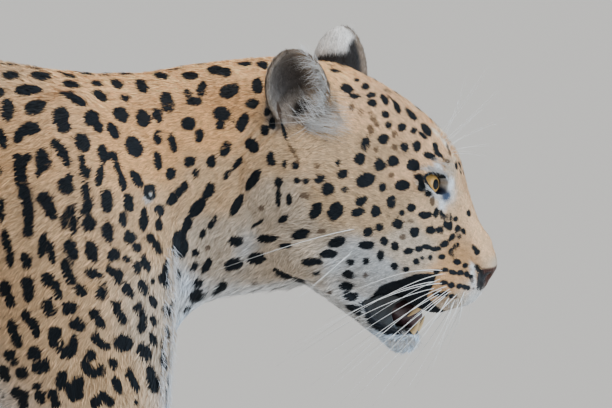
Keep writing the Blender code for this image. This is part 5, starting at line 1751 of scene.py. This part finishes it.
def cheek_fold(side, material):
    bpy.ops.object.select_all(action="DESELECT")
    bpy.ops.mesh.primitive_grid_add(x_subdivisions=28, y_subdivisions=14, size=2)
    fold = bpy.context.view_layer.objects.active
    fold.name = fold.data.name = "cheek_fold_" + ("right" if side < 0 else "left")
    flat_places = vertex_places(fold.data)
    u, v = (flat_places[:, 0] + 1) / 2, (1 - flat_places[:, 1]) / 2
    front = 127 + 13 * v - 12 * np.sin(math.pi * v)
    x = 94 + (front - 94) * u
    top = np.interp(x, *zip(*UPPER_LIP))
    low = np.interp(x, *zip(*LOWER_LIP))
    z = top + 2 + (low - top - 4) * v
    y = np.interp(x, *zip(*JAW_WIDTH)) - 2 - 4 * np.sin(math.pi * v) * u
    y += 0.5 * np.sin(x * 0.9) * np.sin(math.pi * v)
    set_places(fold.data, moved(np.stack((x, side * y, z), 1), HEAD))
    wall = fold.modifiers.new("wall", "SOLIDIFY")
    wall.thickness = 1.6 * MM
    apply_all(fold)
    face_outward(fold)
    fold.data.materials.append(material)
    return fold


lip_black = mottled_material("wet_lip", 0.36, 150.0, 4.0, (0.004, 0.008, 0.010), (0.020, 0.024, 0.028))
for side in (-1, 1):
    pieces.append(cheek_fold(side, lip_black))

for piece in pieces:
    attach(piece, "root")
    if "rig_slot" not in piece:
        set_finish(piece, "coat")


# Floor, light and camera

bpy.ops.object.select_all(action="DESELECT")
bpy.ops.mesh.primitive_plane_add(size=40, location=(0, 0, 0))
floor = bpy.context.view_layer.objects.active
floor.name = "floor"
floor_material, _, _, floor_shader = new_material("pale_floor", 0.85)
floor_shader.inputs["Base Color"].default_value = (0.56, 0.56, 0.55, 1)
floor.data.materials.append(floor_material)

world = bpy.data.worlds.new("pale_room")
bpy.context.scene.world = world
world.use_nodes = True
world.node_tree.nodes["Background"].inputs["Color"].default_value = (0.86, 0.89, 0.93, 1)
world.node_tree.nodes["Background"].inputs["Strength"].default_value = 0.44


def soft_lamp(name, light, power, colour, place, towards):
    """A light at a place, turned to shine away from towards."""
    light.energy = power
    light.color = colour
    lamp = linked(name, light)
    lamp.location = place
    lamp.rotation_mode = "QUATERNION"
    lamp.rotation_quaternion = Vector(towards).to_track_quat("Z", "Y")


# The light from above and its spread, and the cooler fill from ahead, its size, spread, place and aim
SUN_FROM, SUN_POWER, SUN_SPREAD, SUN_COLOUR = (0.12, -0.30, 1.0), 3.2, math.radians(40), (1.0, 0.97, 0.92)
FILL_PLACE, FILL_AIM = Vector((2.8, -1.2, 1.0)), Vector((0.5, 0, 0.45))
FILL_SIZE, FILL_SPREAD, FILL_POWER, FILL_COLOUR = 1.8, math.radians(45), 9, (0.66, 0.83, 1.0)

sun = bpy.data.lights.new("overhead", "SUN")
sun.angle = SUN_SPREAD
soft_lamp("overhead", sun, SUN_POWER, SUN_COLOUR, (0, 0, 0), SUN_FROM)
fill = bpy.data.lights.new("front_fill", "AREA")
fill.shape = "DISK"
fill.size = FILL_SIZE
fill.spread = FILL_SPREAD
soft_lamp("front_fill", fill, FILL_POWER, FILL_COLOUR, FILL_PLACE, FILL_PLACE - FILL_AIM)

camera = linked("camera", bpy.data.cameras.new("camera"))
camera.data.sensor_width = 36.0
camera.data.lens = 36.0 * CAMERA_DISTANCE / FRAME_WIDTH
camera.data.clip_end = 100
camera.location = EYE_POINT
camera.rotation_mode = "QUATERNION"
camera.rotation_quaternion = (-BACKWARD).to_track_quat("-Z", "Y")
bpy.context.scene.camera = camera
